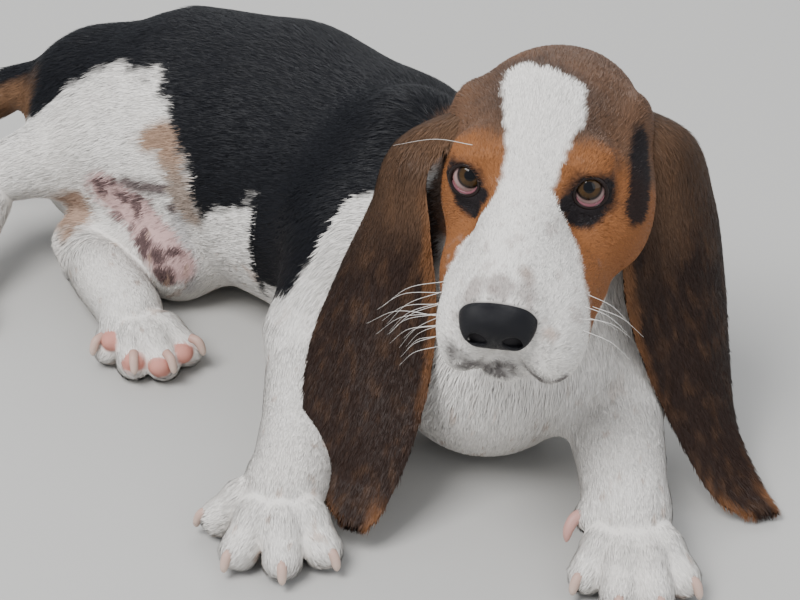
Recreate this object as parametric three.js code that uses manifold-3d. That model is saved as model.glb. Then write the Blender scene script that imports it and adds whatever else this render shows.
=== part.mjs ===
// A basset hound puppy at life size, lying with its head up and both hind legs to one side.
// Millimetres, +Z up, floor at z = 0. -Y is the way the face looks and +X is the dog's left.
import * as THREE from "three";
import { mergeVertices } from "three/addons/utils/BufferGeometryUtils.js";
import Module from "manifold-3d";

const wasm = await Module();
wasm.setup();

// Driving dimensions
const GAP = 0.3; // between touching nodes
const HEAD_AT = [68.5, -126, 167]; // middle of the skull
const HEAD_YAW = -13.4; // degrees, the nose turned to the dog's right
const HEAD_DIP = 7; // degrees, nose down
const HEAD_ROLL = 1; // degrees, the left eye higher
const EYE_AT = [20, 20.5, 6]; // start of the left eye's axis in the head's frame: forward, left, up
const EYE_AXIS = [0.95, 0.25, 0.05];
const EYE_R = 9.6;
const EYE_PROUD = 3.2; // how far the eyeball stands out of the skin between the lids
const TOE_R = 10.5;
const CLAW_LENGTH = 10;
const EAR_THICK = 5.2;

// Mesh cell of each group of nodes
const CELL = { nose: 4.8, head: 7.3, neck: 12.5, trunk: 16, upper: 12.2, lower: 10.5, paw: 6.7, tail: 7.2 };

// Distance fields: each returns a function of x, y, z that is negative inside the shape
const RAD = Math.PI / 180;
const vec = (a) => new THREE.Vector3(...a);

function limb(a, b, ra, rb) {
  const [ax, ay, az] = a;
  const dx = b[0] - ax;
  const dy = b[1] - ay;
  const dz = b[2] - az;
  const length2 = dx * dx + dy * dy + dz * dz;
  return (x, y, z) => {
    const px = x - ax;
    const py = y - ay;
    const pz = z - az;
    const t = Math.min(1, Math.max(0, (px * dx + py * dy + pz * dz) / length2));
    return Math.hypot(px - t * dx, py - t * dy, pz - t * dz) - ra - t * (rb - ra);
  };
}

// A run of limbs through [x, y, z, radius] points
function run(points) {
  const parts = points.slice(1).map((q, i) => {
    const p = points[i];
    return limb(p.slice(0, 3), q.slice(0, 3), p[3], q[3]);
  });
  return (x, y, z) => Math.min(...parts.map((f) => f(x, y, z)));
}

function egg(centre, radii) {
  const [cx, cy, cz] = centre;
  const [rx, ry, rz] = radii;
  return (x, y, z) => {
    const qx = (x - cx) / rx;
    const qy = (y - cy) / ry;
    const qz = (z - cz) / rz;
    const k0 = Math.hypot(qx, qy, qz);
    const k1 = Math.hypot(qx / rx, qy / ry, qz / rz);
    return k1 < 1e-9 ? -Math.min(rx, ry, rz) : (k0 * (k0 - 1)) / k1;
  };
}

const smin = (a, b, k) => {
  const h = Math.max(k - Math.abs(a - b), 0) / k;
  return Math.min(a, b) - h * h * k * 0.25;
};

const blend = (k, ...parts) => (x, y, z) => {
  let d = parts[0](x, y, z);
  for (let i = 1; i < parts.length; i++) d = smin(d, parts[i](x, y, z), k);
  return d;
};

const grown = (field, by) => (x, y, z) => field(x, y, z) - by;

// The same shape on both sides of the head, mirrored in y
const both = (field) => (x, y, z) => field(x, Math.abs(y), z);

// The head's frame: x forward to the nose, y to the dog's left, z up
const headFrame = new THREE.Matrix4()
  .makeBasis(vec([0, -1, 0]), vec([1, 0, 0]), vec([0, 0, 1]))
  .setPosition(...HEAD_AT)
  .multiply(new THREE.Matrix4().makeRotationZ(HEAD_YAW * RAD))
  .multiply(new THREE.Matrix4().makeRotationY(HEAD_DIP * RAD))
  .multiply(new THREE.Matrix4().makeRotationX(HEAD_ROLL * RAD));

function inFrame(matrix, field) {
  const e = matrix.clone().invert().elements;
  return (x, y, z) =>
    field(
      e[0] * x + e[4] * y + e[8] * z + e[12],
      e[1] * x + e[5] * y + e[9] * z + e[13],
      e[2] * x + e[6] * y + e[10] * z + e[14],
    );
}

// Head, in its own frame
const skull = blend(
  12,
  egg([-10, 0, -2], [56, 44, 31]),
  egg([22, 0, 5], [36, 36, 26]),
  egg([-36, 0, -10], [30, 32, 28]),
  both(egg([20, 26, -14], [34, 20, 26])),
  both(egg([-8, 39, -3], [22, 9, 20])),
  egg([24, 36, -20], [30, 18, 27]),
);
const muzzle = blend(
  9,
  limb([46, 0, -6], [106, 0, -14], 22, 18),
  egg([84, 15, -24], [36, 17, 20]),
  egg([86, -13.5, -25], [34, 15.5, 19]),
  egg([94, 21, -36], [28, 15, 21]),
  egg([99, -18, -34], [24, 13, 19]),
  both(egg([56, 25, -34], [30, 14, 22])),
);
const jaw = blend(8, limb([6, 0, -36], [90, 0, -44], 24, 13), egg([99, 0, -49], [15, 13, 10]));
const brows = both(egg([38, 24, 16], [13, 13, 8]));
const nosePad = egg([112, 0, -15.5], [14.5, 18.5, 13.8]);
const headLocal = blend(5, blend(9, skull, muzzle, jaw, brows), nosePad);
const headField = inFrame(headFrame, headLocal);

// Neck, torso and tail
const neckField = blend(
  20,
  limb([62, -104, 136], [34, -84, 88], 36, 52),
  limb([60, -134, 118], [50, -138, 66], 34, 44),
);
const torsoField = blend(
  22,
  egg([42, -128, 50], [48, 50, 52]),
  limb([42, -118, 62], [25, -70, 66], 52, 62),
  limb([25, -70, 66], [-15, -10, 67], 62, 70),
  limb([-15, -10, 67], [-65, 35, 72], 70, 71),
  limb([-65, 35, 72], [-115, 62, 71], 71, 67),
  limb([-115, 62, 71], [-165, 82, 64], 67, 47),
  egg([-150, 80, 42], [52, 48, 44]),
);
const tailField = run([
  [-190, 94, 86, 20],
  [-222, 103, 80, 13.5],
  [-285, 104, 45, 11],
  [-330, 92, 15, 8],
  [-360, 75, 5.5, 6],
]);

// A foot: toes run from the palm to their tips, with a knuckle on each; a dew toe stands at its side
function foot({ palm, palmRadius, toes: tips, dewToe }) {
  const toes = tips.map((tip) => {
    const knuckle = palm.map((c, i) => c + (tip[i] - c) * 0.62);
    knuckle[2] += 5;
    return blend(4, limb(palm, knuckle, palmRadius * 0.8, TOE_R), limb(knuckle, tip, TOE_R, TOE_R));
  });
  if (dewToe) toes.push(limb(...dewToe, 11, 9));
  return blend(4, ...toes, limb(palm, palm.map((c, i) => (i < 2 ? c + 1 : c)), palmRadius, palmRadius));
}

const legs = {
  fore_right: {
    upper: blend(12, limb([5, -50, 118], [-20, -75, 85], 36, 34), limb([-20, -75, 85], [-42, -98, 42], 34, 27)),
    lower: run([[-42, -98, 38, 26], [-47, -160, 30, 21], [-50, -192, 26, 21]]),
    palm: [-55, -205, 22],
    palmRadius: 20,
    toes: [[-84, -208, 9.5], [-74, -233, 9.5], [-54, -240, 9.5], [-36, -232, 9.5]],
  },
  fore_left: {
    upper: blend(12, limb([78, -60, 112], [98, -110, 75], 34, 32), limb([98, -110, 75], [102, -150, 42], 32, 27)),
    lower: run([[102, -150, 40, 26], [104, -195, 34, 22], [104, -214, 30, 21]]),
    palm: [105, -228, 24],
    palmRadius: 20,
    toes: [[86, -250, 9.5], [99, -264, 9.5], [114, -265, 9.5], [127, -253, 9.5]],
    dewToe: [[97, -226, 29], [88, -230, 27]],
    dewClaw: [[83, -231, 29], [75, -234, 28], [74, -240, 17]],
  },
  hind_left: {
    upper: blend(12, limb([-150, 72, 55], [-122, 8, 30], 40, 28)),
    lower: run([[-122, 8, 28, 28], [-175, 24, 22, 19], [-160, -11, 22, 19.5], [-146, -38, 20, 18.5]]),
    palm: [-142, -50, 18],
    palmRadius: 16,
    toes: [[-153, -62, 10], [-139, -76, 9.5], [-124, -77, 9.5], [-114, -65, 10]],
  },
  hind_right: {
    upper: blend(12, limb([-165, 80, 85], [-142, 45, 86], 42, 34), limb([-142, 45, 86], [-160, 42, 80], 34, 30)),
    lower: run([[-160, 42, 80, 29], [-225, 47, 54, 17], [-230, 42, 48, 16], [-244, 0, 22, 16]]),
    palm: [-248, -14, 18],
    palmRadius: 16,
    toes: [[-268, -26, 9.5], [-259, -39, 9.5], [-244, -42, 9.5], [-232, -34, 9.5]],
  },
};
for (const leg of Object.values(legs)) leg.foot = foot(leg);
const legFields = Object.values(legs).map((leg) => blend(8, leg.upper, leg.lower, leg.foot));

const dogField = blend(14, headField, blend(24, neckField, torsoField), tailField, ...legFields);

// The closed surface of a field inside a box, as one quad for each cell edge that it crosses
function surfaceOf(field, low, high, cell) {
  const n = low.map((l, i) => Math.ceil((high[i] - l) / cell) + 1);
  const at = (i, j, k) => (k * n[1] + j) * n[0] + i;
  const wall = cell * 0.5;
  const inBox = (x, y, z) =>
    Math.max(
      field(x, y, z),
      low[0] + wall - x, x - (low[0] + (n[0] - 1) * cell - wall),
      low[1] + wall - y, y - (low[1] + (n[1] - 1) * cell - wall),
      low[2] + wall - z, z - (low[2] + (n[2] - 1) * cell - wall),
    );
  const value = new Float64Array(n[0] * n[1] * n[2]);
  for (let k = 0; k < n[2]; k++)
    for (let j = 0; j < n[1]; j++)
      for (let i = 0; i < n[0]; i++)
        value[at(i, j, k)] = inBox(low[0] + i * cell, low[1] + j * cell, low[2] + k * cell);
  const corners = [0, 1, 2, 3, 4, 5, 6, 7].map((c) => [c & 1, (c >> 1) & 1, c >> 2]);
  const vertexOf = new Map();
  const points = [];
  for (let k = 0; k < n[2] - 1; k++)
    for (let j = 0; j < n[1] - 1; j++)
      for (let i = 0; i < n[0] - 1; i++) {
        const v = corners.map(([a, b, c]) => value[at(i + a, j + b, k + c)]);
        if (v.every((d) => d < 0) || v.every((d) => d >= 0)) continue;
        const sum = [0, 0, 0];
        let count = 0;
        for (let a = 0; a < 8; a++)
          for (const bit of [1, 2, 4]) {
            const b = a | bit;
            if (a & bit || v[a] < 0 === v[b] < 0) continue;
            const t = v[a] / (v[a] - v[b]);
            for (let c = 0; c < 3; c++) sum[c] += corners[a][c] + t * (corners[b][c] - corners[a][c]);
            count++;
          }
        vertexOf.set(at(i, j, k), points.length);
        points.push([i, j, k].map((g, c) => low[c] + (g + sum[c] / count) * cell));
      }
  for (const p of points) settle(inBox, p, cell);
  const faces = [];
  const quad = (q, flip) => {
    const [a, b, c, d] = flip ? [q[0], q[3], q[2], q[1]] : q;
    const across = (s, t) => Math.hypot(...points[s].map((x, m) => x - points[t][m]));
    if (across(a, c) <= across(b, d)) faces.push(a, b, c, a, c, d);
    else faces.push(a, b, d, b, c, d);
  };
  for (let k = 0; k < n[2] - 1; k++)
    for (let j = 0; j < n[1] - 1; j++)
      for (let i = 0; i < n[0] - 1; i++) {
        const here = value[at(i, j, k)] < 0;
        const edges = [
          [j && k, value[at(i + 1, j, k)], [[i, j - 1, k - 1], [i, j, k - 1], [i, j, k], [i, j - 1, k]]],
          [i && k, value[at(i, j + 1, k)], [[i - 1, j, k - 1], [i - 1, j, k], [i, j, k], [i, j, k - 1]]],
          [i && j, value[at(i, j, k + 1)], [[i - 1, j - 1, k], [i, j - 1, k], [i, j, k], [i - 1, j, k]]],
        ];
        for (const [inner, there, cells] of edges)
          if (inner && here !== there < 0) quad(cells.map((c) => vertexOf.get(at(...c))), !here);
      }
  return { points, faces };
}

// Moves a point on to the field's surface, by at most a third of a cell
function settle(field, p, cell) {
  const start = [...p];
  for (let step = 0; step < 3; step++) {
    const h = 0.05;
    const d = field(...p);
    const slope = [0, 1, 2].map((c) => {
      const q = [...p];
      q[c] += h;
      return (field(...q) - d) / h;
    });
    const s2 = slope.reduce((s, g) => s + g * g, 0) || 1;
    for (let c = 0; c < 3; c++) {
      const moved = p[c] - (d * slope[c]) / s2;
      p[c] = start[c] + Math.max(-cell / 3, Math.min(cell / 3, moved - start[c]));
    }
  }
}

// Closed meshes as solids that can be joined and cut
function solidOf(points, faces) {
  return new wasm.Manifold(
    new wasm.Mesh({ numProp: 3, vertProperties: new Float32Array(points.flat()), triVerts: new Uint32Array(faces) }),
  );
}

function solidOfGeometry(geometry, matrix = new THREE.Matrix4()) {
  const bare = geometry.clone().applyMatrix4(matrix);
  bare.deleteAttribute("normal");
  bare.deleteAttribute("uv");
  const merged = mergeVertices(bare, 1e-3);
  return new wasm.Manifold(
    new wasm.Mesh({
      numProp: 3,
      vertProperties: merged.attributes.position.array,
      triVerts: new Uint32Array(merged.index.array),
    }),
  );
}

// Where two sheets of a mesh share an edge, gives one of them a bend of its own, just inside the solid
function parted(points, faces) {
  const users = new Map();
  for (let f = 0; f < faces.length; f += 3)
    for (let c = 0; c < 3; c++) {
      const a = faces[f + c];
      const b = faces[f + ((c + 1) % 3)];
      const key = Math.min(a, b) + " " + Math.max(a, b);
      if (!users.has(key)) users.set(key, []);
      users.get(key).push({ f, third: faces[f + ((c + 2) % 3)], forward: a < b });
    }
  const result = [...faces];
  const split = new Set();
  for (const [key, list] of users) {
    if (list.length <= 2 || list.some(({ f }) => split.has(f))) continue;
    const [a, b] = key.split(" ").map(Number);
    const pa = vec(points[a]);
    const axis = vec(points[b]).sub(pa).normalize();
    const east = axis.clone().cross(Math.abs(axis.z) < 0.9 ? vec([0, 0, 1]) : vec([1, 0, 0])).normalize();
    const north = axis.clone().cross(east);
    for (const use of list) {
      const to = vec(points[use.third]).sub(pa);
      use.angle = Math.atan2(to.dot(north), to.dot(east));
    }
    list.sort((u, v) => u.angle - v.angle);
    const first = list.findIndex((use, i) => !use.forward && list[(i + 1) % list.length].forward);
    const pair = [list[first], list[(first + 1) % list.length]];
    const turn = (pair[1].angle - pair[0].angle + 2 * Math.PI) % (2 * Math.PI);
    const middle = pair[0].angle + turn / 2;
    const bend = pa.clone().add(vec(points[b])).multiplyScalar(0.5)
      .addScaledVector(east, 0.2 * Math.cos(middle))
      .addScaledVector(north, 0.2 * Math.sin(middle));
    const added = points.push(bend.toArray()) - 1;
    for (const { f, third, forward } of pair) {
      const [from, to] = forward ? [a, b] : [b, a];
      result.splice(f, 3, from, added, third);
      result.push(added, to, third);
      split.add(f);
    }
  }
  return result;
}

// Draws together the ends of each edge that is too short to matter
function tidied(solid, shortest = 0.06) {
  const { vertProperties, triVerts } = solid.getMesh();
  const points = [];
  const known = new Map();
  const sameAs = [];
  for (let i = 0; i < vertProperties.length; i += 3) {
    const p = [...vertProperties.slice(i, i + 3)];
    const key = p.map((v) => Math.round(v * 1000)).join(" ");
    if (!known.has(key)) known.set(key, points.push(p) - 1);
    sameAs.push(known.get(key));
  }
  let faces = [...triVerts].map((v) => sameAs[v]);
  for (let pass = 0; pass < 12; pass++) {
    const beside = points.map(() => new Set());
    for (let f = 0; f < faces.length; f++) {
      const first = f - (f % 3);
      beside[faces[f]].add(faces[first + ((f + 1) % 3)]).add(faces[first + ((f + 2) % 3)]);
    }
    const moved = new Map();
    const busy = new Set();
    for (let f = 0; f < faces.length; f++) {
      const a = faces[f];
      const b = faces[f - (f % 3) + ((f + 1) % 3)];
      if (a > b || busy.has(a) || busy.has(b)) continue;
      if (Math.hypot(...points[a].map((v, i) => v - points[b][i])) > shortest) continue;
      if ([...beside[a]].filter((v) => beside[b].has(v)).length !== 2) continue;
      moved.set(b, a);
      for (const v of [a, b, ...beside[a], ...beside[b]]) busy.add(v);
    }
    if (!moved.size) break;
    faces = faces.map((v) => moved.get(v) ?? v);
    const kept = [];
    for (let f = 0; f < faces.length; f += 3) {
      const [a, b, c] = faces.slice(f, f + 3);
      if (a !== b && b !== c && c !== a) kept.push(a, b, c);
    }
    faces = kept;
  }
  for (let pass = 0; pass < 3; pass++) faces = parted(points, faces);
  return solidOf(points, faces);
}

// The solid of a field inside a box; the grid is moved a little if its mesh isn't a closed surface
function bodyOf(field, low, high, cell) {
  for (let shift = 0; ; shift += cell * 0.17) {
    const { points, faces } = surfaceOf(field, low.map((v) => v - shift), high.map((v) => v + shift), cell);
    try {
      return solidOf(points, faces);
    } catch (error) {
      if (shift > cell) throw error;
    }
  }
}

// Half of space, cut by a plane: all that lies against the plane's normal
const FAR = 900;
function half(point, normal, grow = 0) {
  const n = vec(normal).normalize();
  const turn = new THREE.Quaternion().setFromUnitVectors(vec([0, 0, 1]), n);
  const centre = vec(point).addScaledVector(n, grow - FAR);
  const box = new THREE.BoxGeometry(2 * FAR, 2 * FAR, 2 * FAR);
  return solidOfGeometry(box, new THREE.Matrix4().compose(centre, turn, vec([1, 1, 1])));
}

// A block between two corners, in the world's frame or another
function block(low, high, grow = 0, matrix = new THREE.Matrix4()) {
  const size = high.map((h, i) => h - low[i] + 2 * grow);
  const middle = high.map((h, i) => (h + low[i]) / 2);
  const box = new THREE.BoxGeometry(...size).translate(...middle);
  return solidOfGeometry(box, matrix);
}

const inHead = (point) => vec(point).applyMatrix4(headFrame).toArray();
const alongHead = (axis) => vec(axis).transformDirection(headFrame).toArray();

// The parts of the body, in the order in which they claim their share of it
const shares = {
  nose: [CELL.nose, (g) => block([108, -18.2, -29.2], [150, 18.2, -2], g, headFrame)],
  head: [
    CELL.head,
    (g) =>
      half(inHead([-50, 0, 45]), alongHead([-0.88, 0, -0.47]), g).intersect(
        half(inHead([0, 0, -63]), alongHead([0, 0, -1]), g),
      ),
  ],
  fore_right_paw: [CELL.paw, (g) => block([-130, -320, -40], [-12, -190, 70], g)],
  fore_left_paw: [CELL.paw, (g) => block([70, -340, -40], [170, -216, 76], g)],
  hind_left_paw: [CELL.paw, (g) => block([-190, -120, -40], [-98, -40, 50], g)],
  hind_right_paw: [CELL.paw, (g) => block([-320, -80, -40], [-210, 4, 45], g)],
  fore_right_lower: [CELL.lower, (g) => block([-130, -190, -40], [-17, -114, 74], g)],
  fore_left_lower: [CELL.lower, (g) => block([76, -216, -40], [170, -150, 80], g)],
  hind_left_lower: [CELL.lower, (g) => block([-225, -40, -40], [-143, 48, 46], g)],
  hind_right_lower: [CELL.lower, (g) => block([-320, 4, 20], [-186, 66, 82], g)],
  neck: [CELL.neck, (g) => half([40, -95, 112], [-0.25, 0.45, -0.85], g)],
  fore_right_upper: [
    CELL.upper,
    (g) =>
      half([-50, -34, 0], [0.88, 0.47, 0], g)
        .intersect(half([-50, -40.3, 0], [-0.47, 0.88, 0], g))
        .intersect(half([0, 0, 142], [0, 0, 1], g)),
  ],
  fore_left_upper: [CELL.upper, (g) => block([78, -200, -40], [200, -20, 150], g)],
  hind_left_upper: [CELL.upper, (g) => block([-143, -60, -40], [-84, 44, 50], g)],
  hind_right_upper: [CELL.upper, (g) => block([-260, -40, 50], [-112, 50, 170], g)],
  tail: [CELL.tail, (g) => block([-420, 68, -40], [-207, 160, 140], g)],
  chest: [CELL.trunk, (g) => half([-30, 0, 75], [-0.72, 0.69, 0], g)],
  loin: [CELL.trunk, (g) => half([-105, 55, 75], [-0.8, 0.6, 0], g)],
  rump: [CELL.trunk, (g) => block([-400, -400, -100], [400, 400, 400], g)],
};

const floor = half([0, 0, 0], [0, 0, -1]);
const rough = bodyOf(dogField, [-390, -310, -30], [200, 190, 240], 12).intersect(floor);

const main = (solid) => solid.decompose().sort((a, b) => b.volume() - a.volume())[0];

const solids = {};
const grids = {};
let taken = null;
for (const [name, [cell, claim]] of Object.entries(shares)) {
  const share = claim(0).intersect(floor);
  const outline = (taken ? rough.subtract(taken) : rough).intersect(share).boundingBox();
  const low = [...outline.min].map((v) => v - 1.6 * cell - 3);
  const high = [...outline.max].map((v) => v + 1.6 * cell + 3);
  grids[name] = [low, high, cell];
  const body = bodyOf(dogField, low, high, cell).intersect(share);
  solids[name] = main(taken ? body.subtract(taken) : body);
  taken = taken ? taken.add(claim(GAP)) : claim(GAP);
}

// Moves a point of the head's frame on to the head's skin
function onSkin(point) {
  const p = [...point];
  for (let step = 0; step < 12; step++) {
    const d = headLocal(...p);
    const slope = [0, 1, 2].map((c) => {
      const q = [...p];
      q[c] += 0.05;
      return (headLocal(...q) - d) / 0.05;
    });
    const s2 = slope.reduce((sum, g) => sum + g * g, 0);
    for (let c = 0; c < 3; c++) p[c] -= (0.8 * d * slope[c]) / s2;
  }
  return p;
}

// Eyes in their sockets, each with a ring of lids
const ball = (centre, radii, matrix, across = 14, down = 8) =>
  solidOfGeometry(new THREE.SphereGeometry(1, across, down).scale(...radii).translate(...centre), matrix);

for (const [side, flip] of [["left", 1], ["right", -1]]) {
  const axis = vec(EYE_AXIS).normalize();
  axis.y *= flip;
  const start = vec([EYE_AT[0], flip * EYE_AT[1], EYE_AT[2]]);
  const reach = (t) => headLocal(...start.clone().addScaledVector(axis, t).toArray());
  let depth = 0;
  while (reach(depth) < 0) depth += 0.1;
  const centre = start.clone().addScaledVector(axis, depth - EYE_R + EYE_PROUD);
  const along = vec([0, 0, 1]).cross(axis).normalize();
  const above = axis.clone().cross(along);
  const turn = new THREE.Matrix4().makeBasis(axis, along, above).setPosition(centre);
  const place = headFrame.clone().multiply(turn);
  const rim = [];
  for (let i = 0; i < 20; i++) {
    const a = (i / 20) * 2 * Math.PI;
    const drop = Math.sin(a) > 0 ? 0.7 : 0.86;
    rim.push(vec([1, 1.1 * Math.cos(a), drop * Math.sin(a)]).setLength(EYE_R + 0.9));
  }
  const lids = new THREE.TubeGeometry(new THREE.CatmullRomCurve3(rim, true), 18, 1.7, 5, true);
  solids.head = solids.head
    .subtract(ball([EYE_R + 2, 0, -0.6], [6, 8, 6.2], place, 12, 8))
    .add(solidOfGeometry(lids, place))
    .subtract(ball([0, 0, 0], [EYE_R + GAP, EYE_R + GAP, EYE_R + GAP], place));
  solids["eye_" + side] = ball([0, 0, 0], [EYE_R, EYE_R, EYE_R], place);
}

// Mouth line, lips and nostrils
const lips = [
  [48, -33, -46], [70, -28, -52], [92, -18, -56], [108, -9, -50], [113, 0, -42],
  [108, 9, -50], [92, 20, -60], [70, 29, -56], [48, 34, -48],
];
const mouthLine = new THREE.CatmullRomCurve3(lips.map((p) => vec(onSkin(p))));
const mouth = solidOfGeometry(closedTube(mouthLine, 22, 4, () => 1.7), headFrame);
solids.head = main(solids.head.subtract(mouth));
for (const flip of [1, -1]) {
  const at = onSkin([126, flip * 7.6, -19]);
  solids.nose = solids.nose.subtract(ball(at, [6, 3, 3.2], headFrame, 10, 6));
}

// A tube along a curve with a radius that changes; both ends closed by a fan
function closedTube(curve, steps, sides, radius) {
  const frames = curve.computeFrenetFrames(steps);
  const positions = [];
  for (let i = 0; i <= steps; i++) {
    const centre = curve.getPointAt(i / steps);
    for (let j = 0; j < sides; j++) {
      const a = (j / sides) * 2 * Math.PI;
      const p = centre.clone()
        .addScaledVector(frames.normals[i], Math.cos(a) * radius(i / steps))
        .addScaledVector(frames.binormals[i], Math.sin(a) * radius(i / steps));
      positions.push(...p.toArray());
    }
  }
  const ends = [curve.getPointAt(0), curve.getPointAt(1)];
  positions.push(...ends[0].toArray(), ...ends[1].toArray());
  const index = [];
  const last = steps * sides;
  for (let j = 0; j < sides; j++) {
    const next = (j + 1) % sides;
    for (let i = 0; i < steps; i++) {
      const a = i * sides;
      index.push(a + j, a + next, a + sides + next, a + j, a + sides + next, a + sides + j);
    }
    index.push(last + sides, next, j);
    index.push(last + sides + 1, last + j, last + next);
  }
  const geometry = new THREE.BufferGeometry();
  geometry.setAttribute("position", new THREE.Float32BufferAttribute(positions, 3));
  geometry.setIndex(index);
  return geometry;
}

// Ears: each row runs from the front edge to the rear edge, from the root down to the tip
const ears = {
  left: {
    out: 1,
    rows: [
      [[112, -120, 176], [112, -94, 170]],
      [[112, -142, 160], [138, -98, 156]],
      [[104, -152, 130], [152, -104, 124]],
      [[106, -160, 98], [158, -116, 90]],
      [[116, -168, 68], [160, -138, 58]],
      [[132, -179, 36], [163, -160, 30]],
      [[149, -195, 12], [173, -184, 12]],
      [[165, -202, 4.6], [182, -197, 4.6]],
    ],
  },
  right: {
    out: -1,
    rows: [
      [[26, -132, 178], [26, -106, 172]],
      [[14, -146, 164], [0, -112, 158]],
      [[14, -156, 134], [-14, -118, 128]],
      [[17, -166, 102], [-30, -132, 98]],
      [[14, -182, 70], [-43, -154, 70]],
      [[5, -202, 44], [-45, -178, 46]],
      [[-6, -216, 24], [-38, -202, 26]],
      [[-14, -224, 14], [-28, -218, 14]],
    ],
  },
};

function earGeometry({ out, rows }) {
  const columns = 5;
  const steps = 13;
  const fronts = new THREE.CatmullRomCurve3(rows.map(([front]) => vec(front)));
  const rears = new THREE.CatmullRomCurve3(rows.map(([, rear]) => vec(rear)));
  const faces = [[], []];
  for (let i = 0; i < steps; i++) {
    const s = i / (steps - 1);
    const front = fronts.getPoint(s);
    const rear = rears.getPoint(s);
    const down = fronts.getTangent(s).add(rears.getTangent(s)).normalize();
    const outward = rear.clone().sub(front).cross(down).normalize();
    if (outward.x * out < 0) outward.negate();
    for (let j = 0; j < columns; j++) {
      const t = j / (columns - 1);
      const bow = Math.sin(Math.PI * t) * 9 * Math.sin(Math.PI * Math.min(1, s * 1.1 + 0.1));
      const thick = EAR_THICK * (1 - 0.5 * (2 * t - 1) ** 2);
      const middle = front.clone().lerp(rear, t).addScaledVector(outward, bow);
      faces[0].push(middle.clone().addScaledVector(outward, thick / 2));
      faces[1].push(middle.clone().addScaledVector(outward, -thick / 2));
    }
  }
  const count = steps * columns;
  const index = [];
  const quad = (a, b, c, d) => index.push(a, b, c, a, c, d);
  for (let i = 0; i < steps - 1; i++)
    for (let j = 0; j < columns - 1; j++) {
      const a = i * columns + j;
      quad(a, a + 1, a + columns + 1, a + columns);
      index.push(count + a, count + a + columns + 1, count + a + 1);
      index.push(count + a, count + a + columns, count + a + columns + 1);
    }
  for (let i = 0; i < steps - 1; i++) {
    const a = i * columns;
    const b = a + columns - 1;
    quad(a, a + columns, count + a + columns, count + a);
    quad(b + columns, b, count + b, count + b + columns);
  }
  for (let j = 0; j < columns - 1; j++) {
    const end = (steps - 1) * columns + j;
    quad(j + 1, j, count + j, count + j + 1);
    quad(end, end + 1, count + end + 1, count + end);
  }
  const geometry = new THREE.BufferGeometry();
  const positions = [...faces[0], ...faces[1]].flatMap((p) => p.toArray());
  geometry.setAttribute("position", new THREE.Float32BufferAttribute(positions, 3));
  geometry.setIndex(out > 0 ? index.reverse() : index);
  return geometry;
}

// The body, swollen by a gap, cuts the ears and claws that stand on it
const swollenHead = bodyOf(grown(dogField, GAP + 0.05), ...grids.head);
for (const [side, shape] of Object.entries(ears)) {
  let vane = solidOfGeometry(earGeometry(shape));
  const { min, max } = vane.boundingBox();
  const body = bodyOf(grown(dogField, 1), [...min].map((v) => v - 12), [...max].map((v) => v + 12), 7);
  vane = vane.subtract(swollenHead).subtract(body.subtract(shares.head[1](0))).intersect(floor);
  const pieces = vane.decompose().sort((a, b) => b.volume() - a.volume());
  solids["ear_" + side] = pieces[0];
}

// Claws
for (const [leg, { palm, toes, dewClaw }] of Object.entries(legs)) {
  const swollen = bodyOf(grown(dogField, GAP + 0.05), ...grids[leg + "_paw"]);
  const clawOf = (points) => {
    const curve = new THREE.QuadraticBezierCurve3(...points);
    return main(solidOfGeometry(closedTube(curve, 3, 5, (s) => 3 - 2 * s)).subtract(swollen));
  };
  toes.forEach((tip, i) => {
    const ahead = vec([tip[0] - palm[0], tip[1] - palm[1], 0]).normalize();
    const from = vec(tip);
    solids[leg + "_claw_" + (i + 1)] = clawOf([
      from.clone().addScaledVector(ahead, TOE_R - 6).setZ(tip[2] + 2.5),
      from.clone().addScaledVector(ahead, TOE_R + 1).setZ(tip[2] + 2),
      from.clone().addScaledVector(ahead, TOE_R - 6 + CLAW_LENGTH).setZ(2.4),
    ]);
  });
  if (dewClaw)
    solids[leg + "_dewclaw"] = main(clawOf(dewClaw.map(vec)).subtract(solids[leg + "_paw"].translate([-2 * GAP, 0, 0])));
}

const colours = {
  nose: [0x1c1b1e, 0.35],
  eye: [0x2a1a10, 0.1],
  ear: [0x3b2618, 0.85],
  claw: [0xd8c0b0, 0.5],
  head: [0xa8764a, 0.9],
  tail: [0x2a2320, 0.9],
  loin: [0x1c1b1f, 0.85],
  rump: [0x1c1b1f, 0.85],
  coat: [0xeae5de, 0.9],
};
const materials = {};
for (const [slot, [color, roughness]] of Object.entries(colours))
  materials[slot] = new THREE.MeshStandardMaterial({ color, roughness });

function slotOf(name) {
  if (name.includes("claw")) return "claw";
  const first = name.split("_")[0];
  return first in colours ? first : "coat";
}

const group = new THREE.Group();
for (const [name, solid] of Object.entries(solids)) {
  const { vertProperties, triVerts } = main(tidied(solid)).getMesh();
  const geometry = new THREE.BufferGeometry();
  geometry.setAttribute("position", new THREE.BufferAttribute(vertProperties.slice(), 3));
  geometry.setIndex(new THREE.BufferAttribute(triVerts.slice(), 1));
  const mesh = new THREE.Mesh(geometry, materials[slotOf(name)]);
  mesh.name = name;
  group.add(mesh);
}

// The origin goes to the middle of the footprint, on the floor
const middle = new THREE.Box3().setFromObject(group).getCenter(vec([0, 0, 0]));
for (const mesh of group.children) mesh.position.set(-middle.x, -middle.y, 0);

export default group;
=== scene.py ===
# A lying basset hound puppy: one skin over the body, short fur, eyes, nose, claws and whiskers.
# Lengths are worked out in millimetres in the part's own modelling frame, then moved to the
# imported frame.
import math

import bpy
import numpy as np
from mathutils import Matrix, Vector


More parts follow.
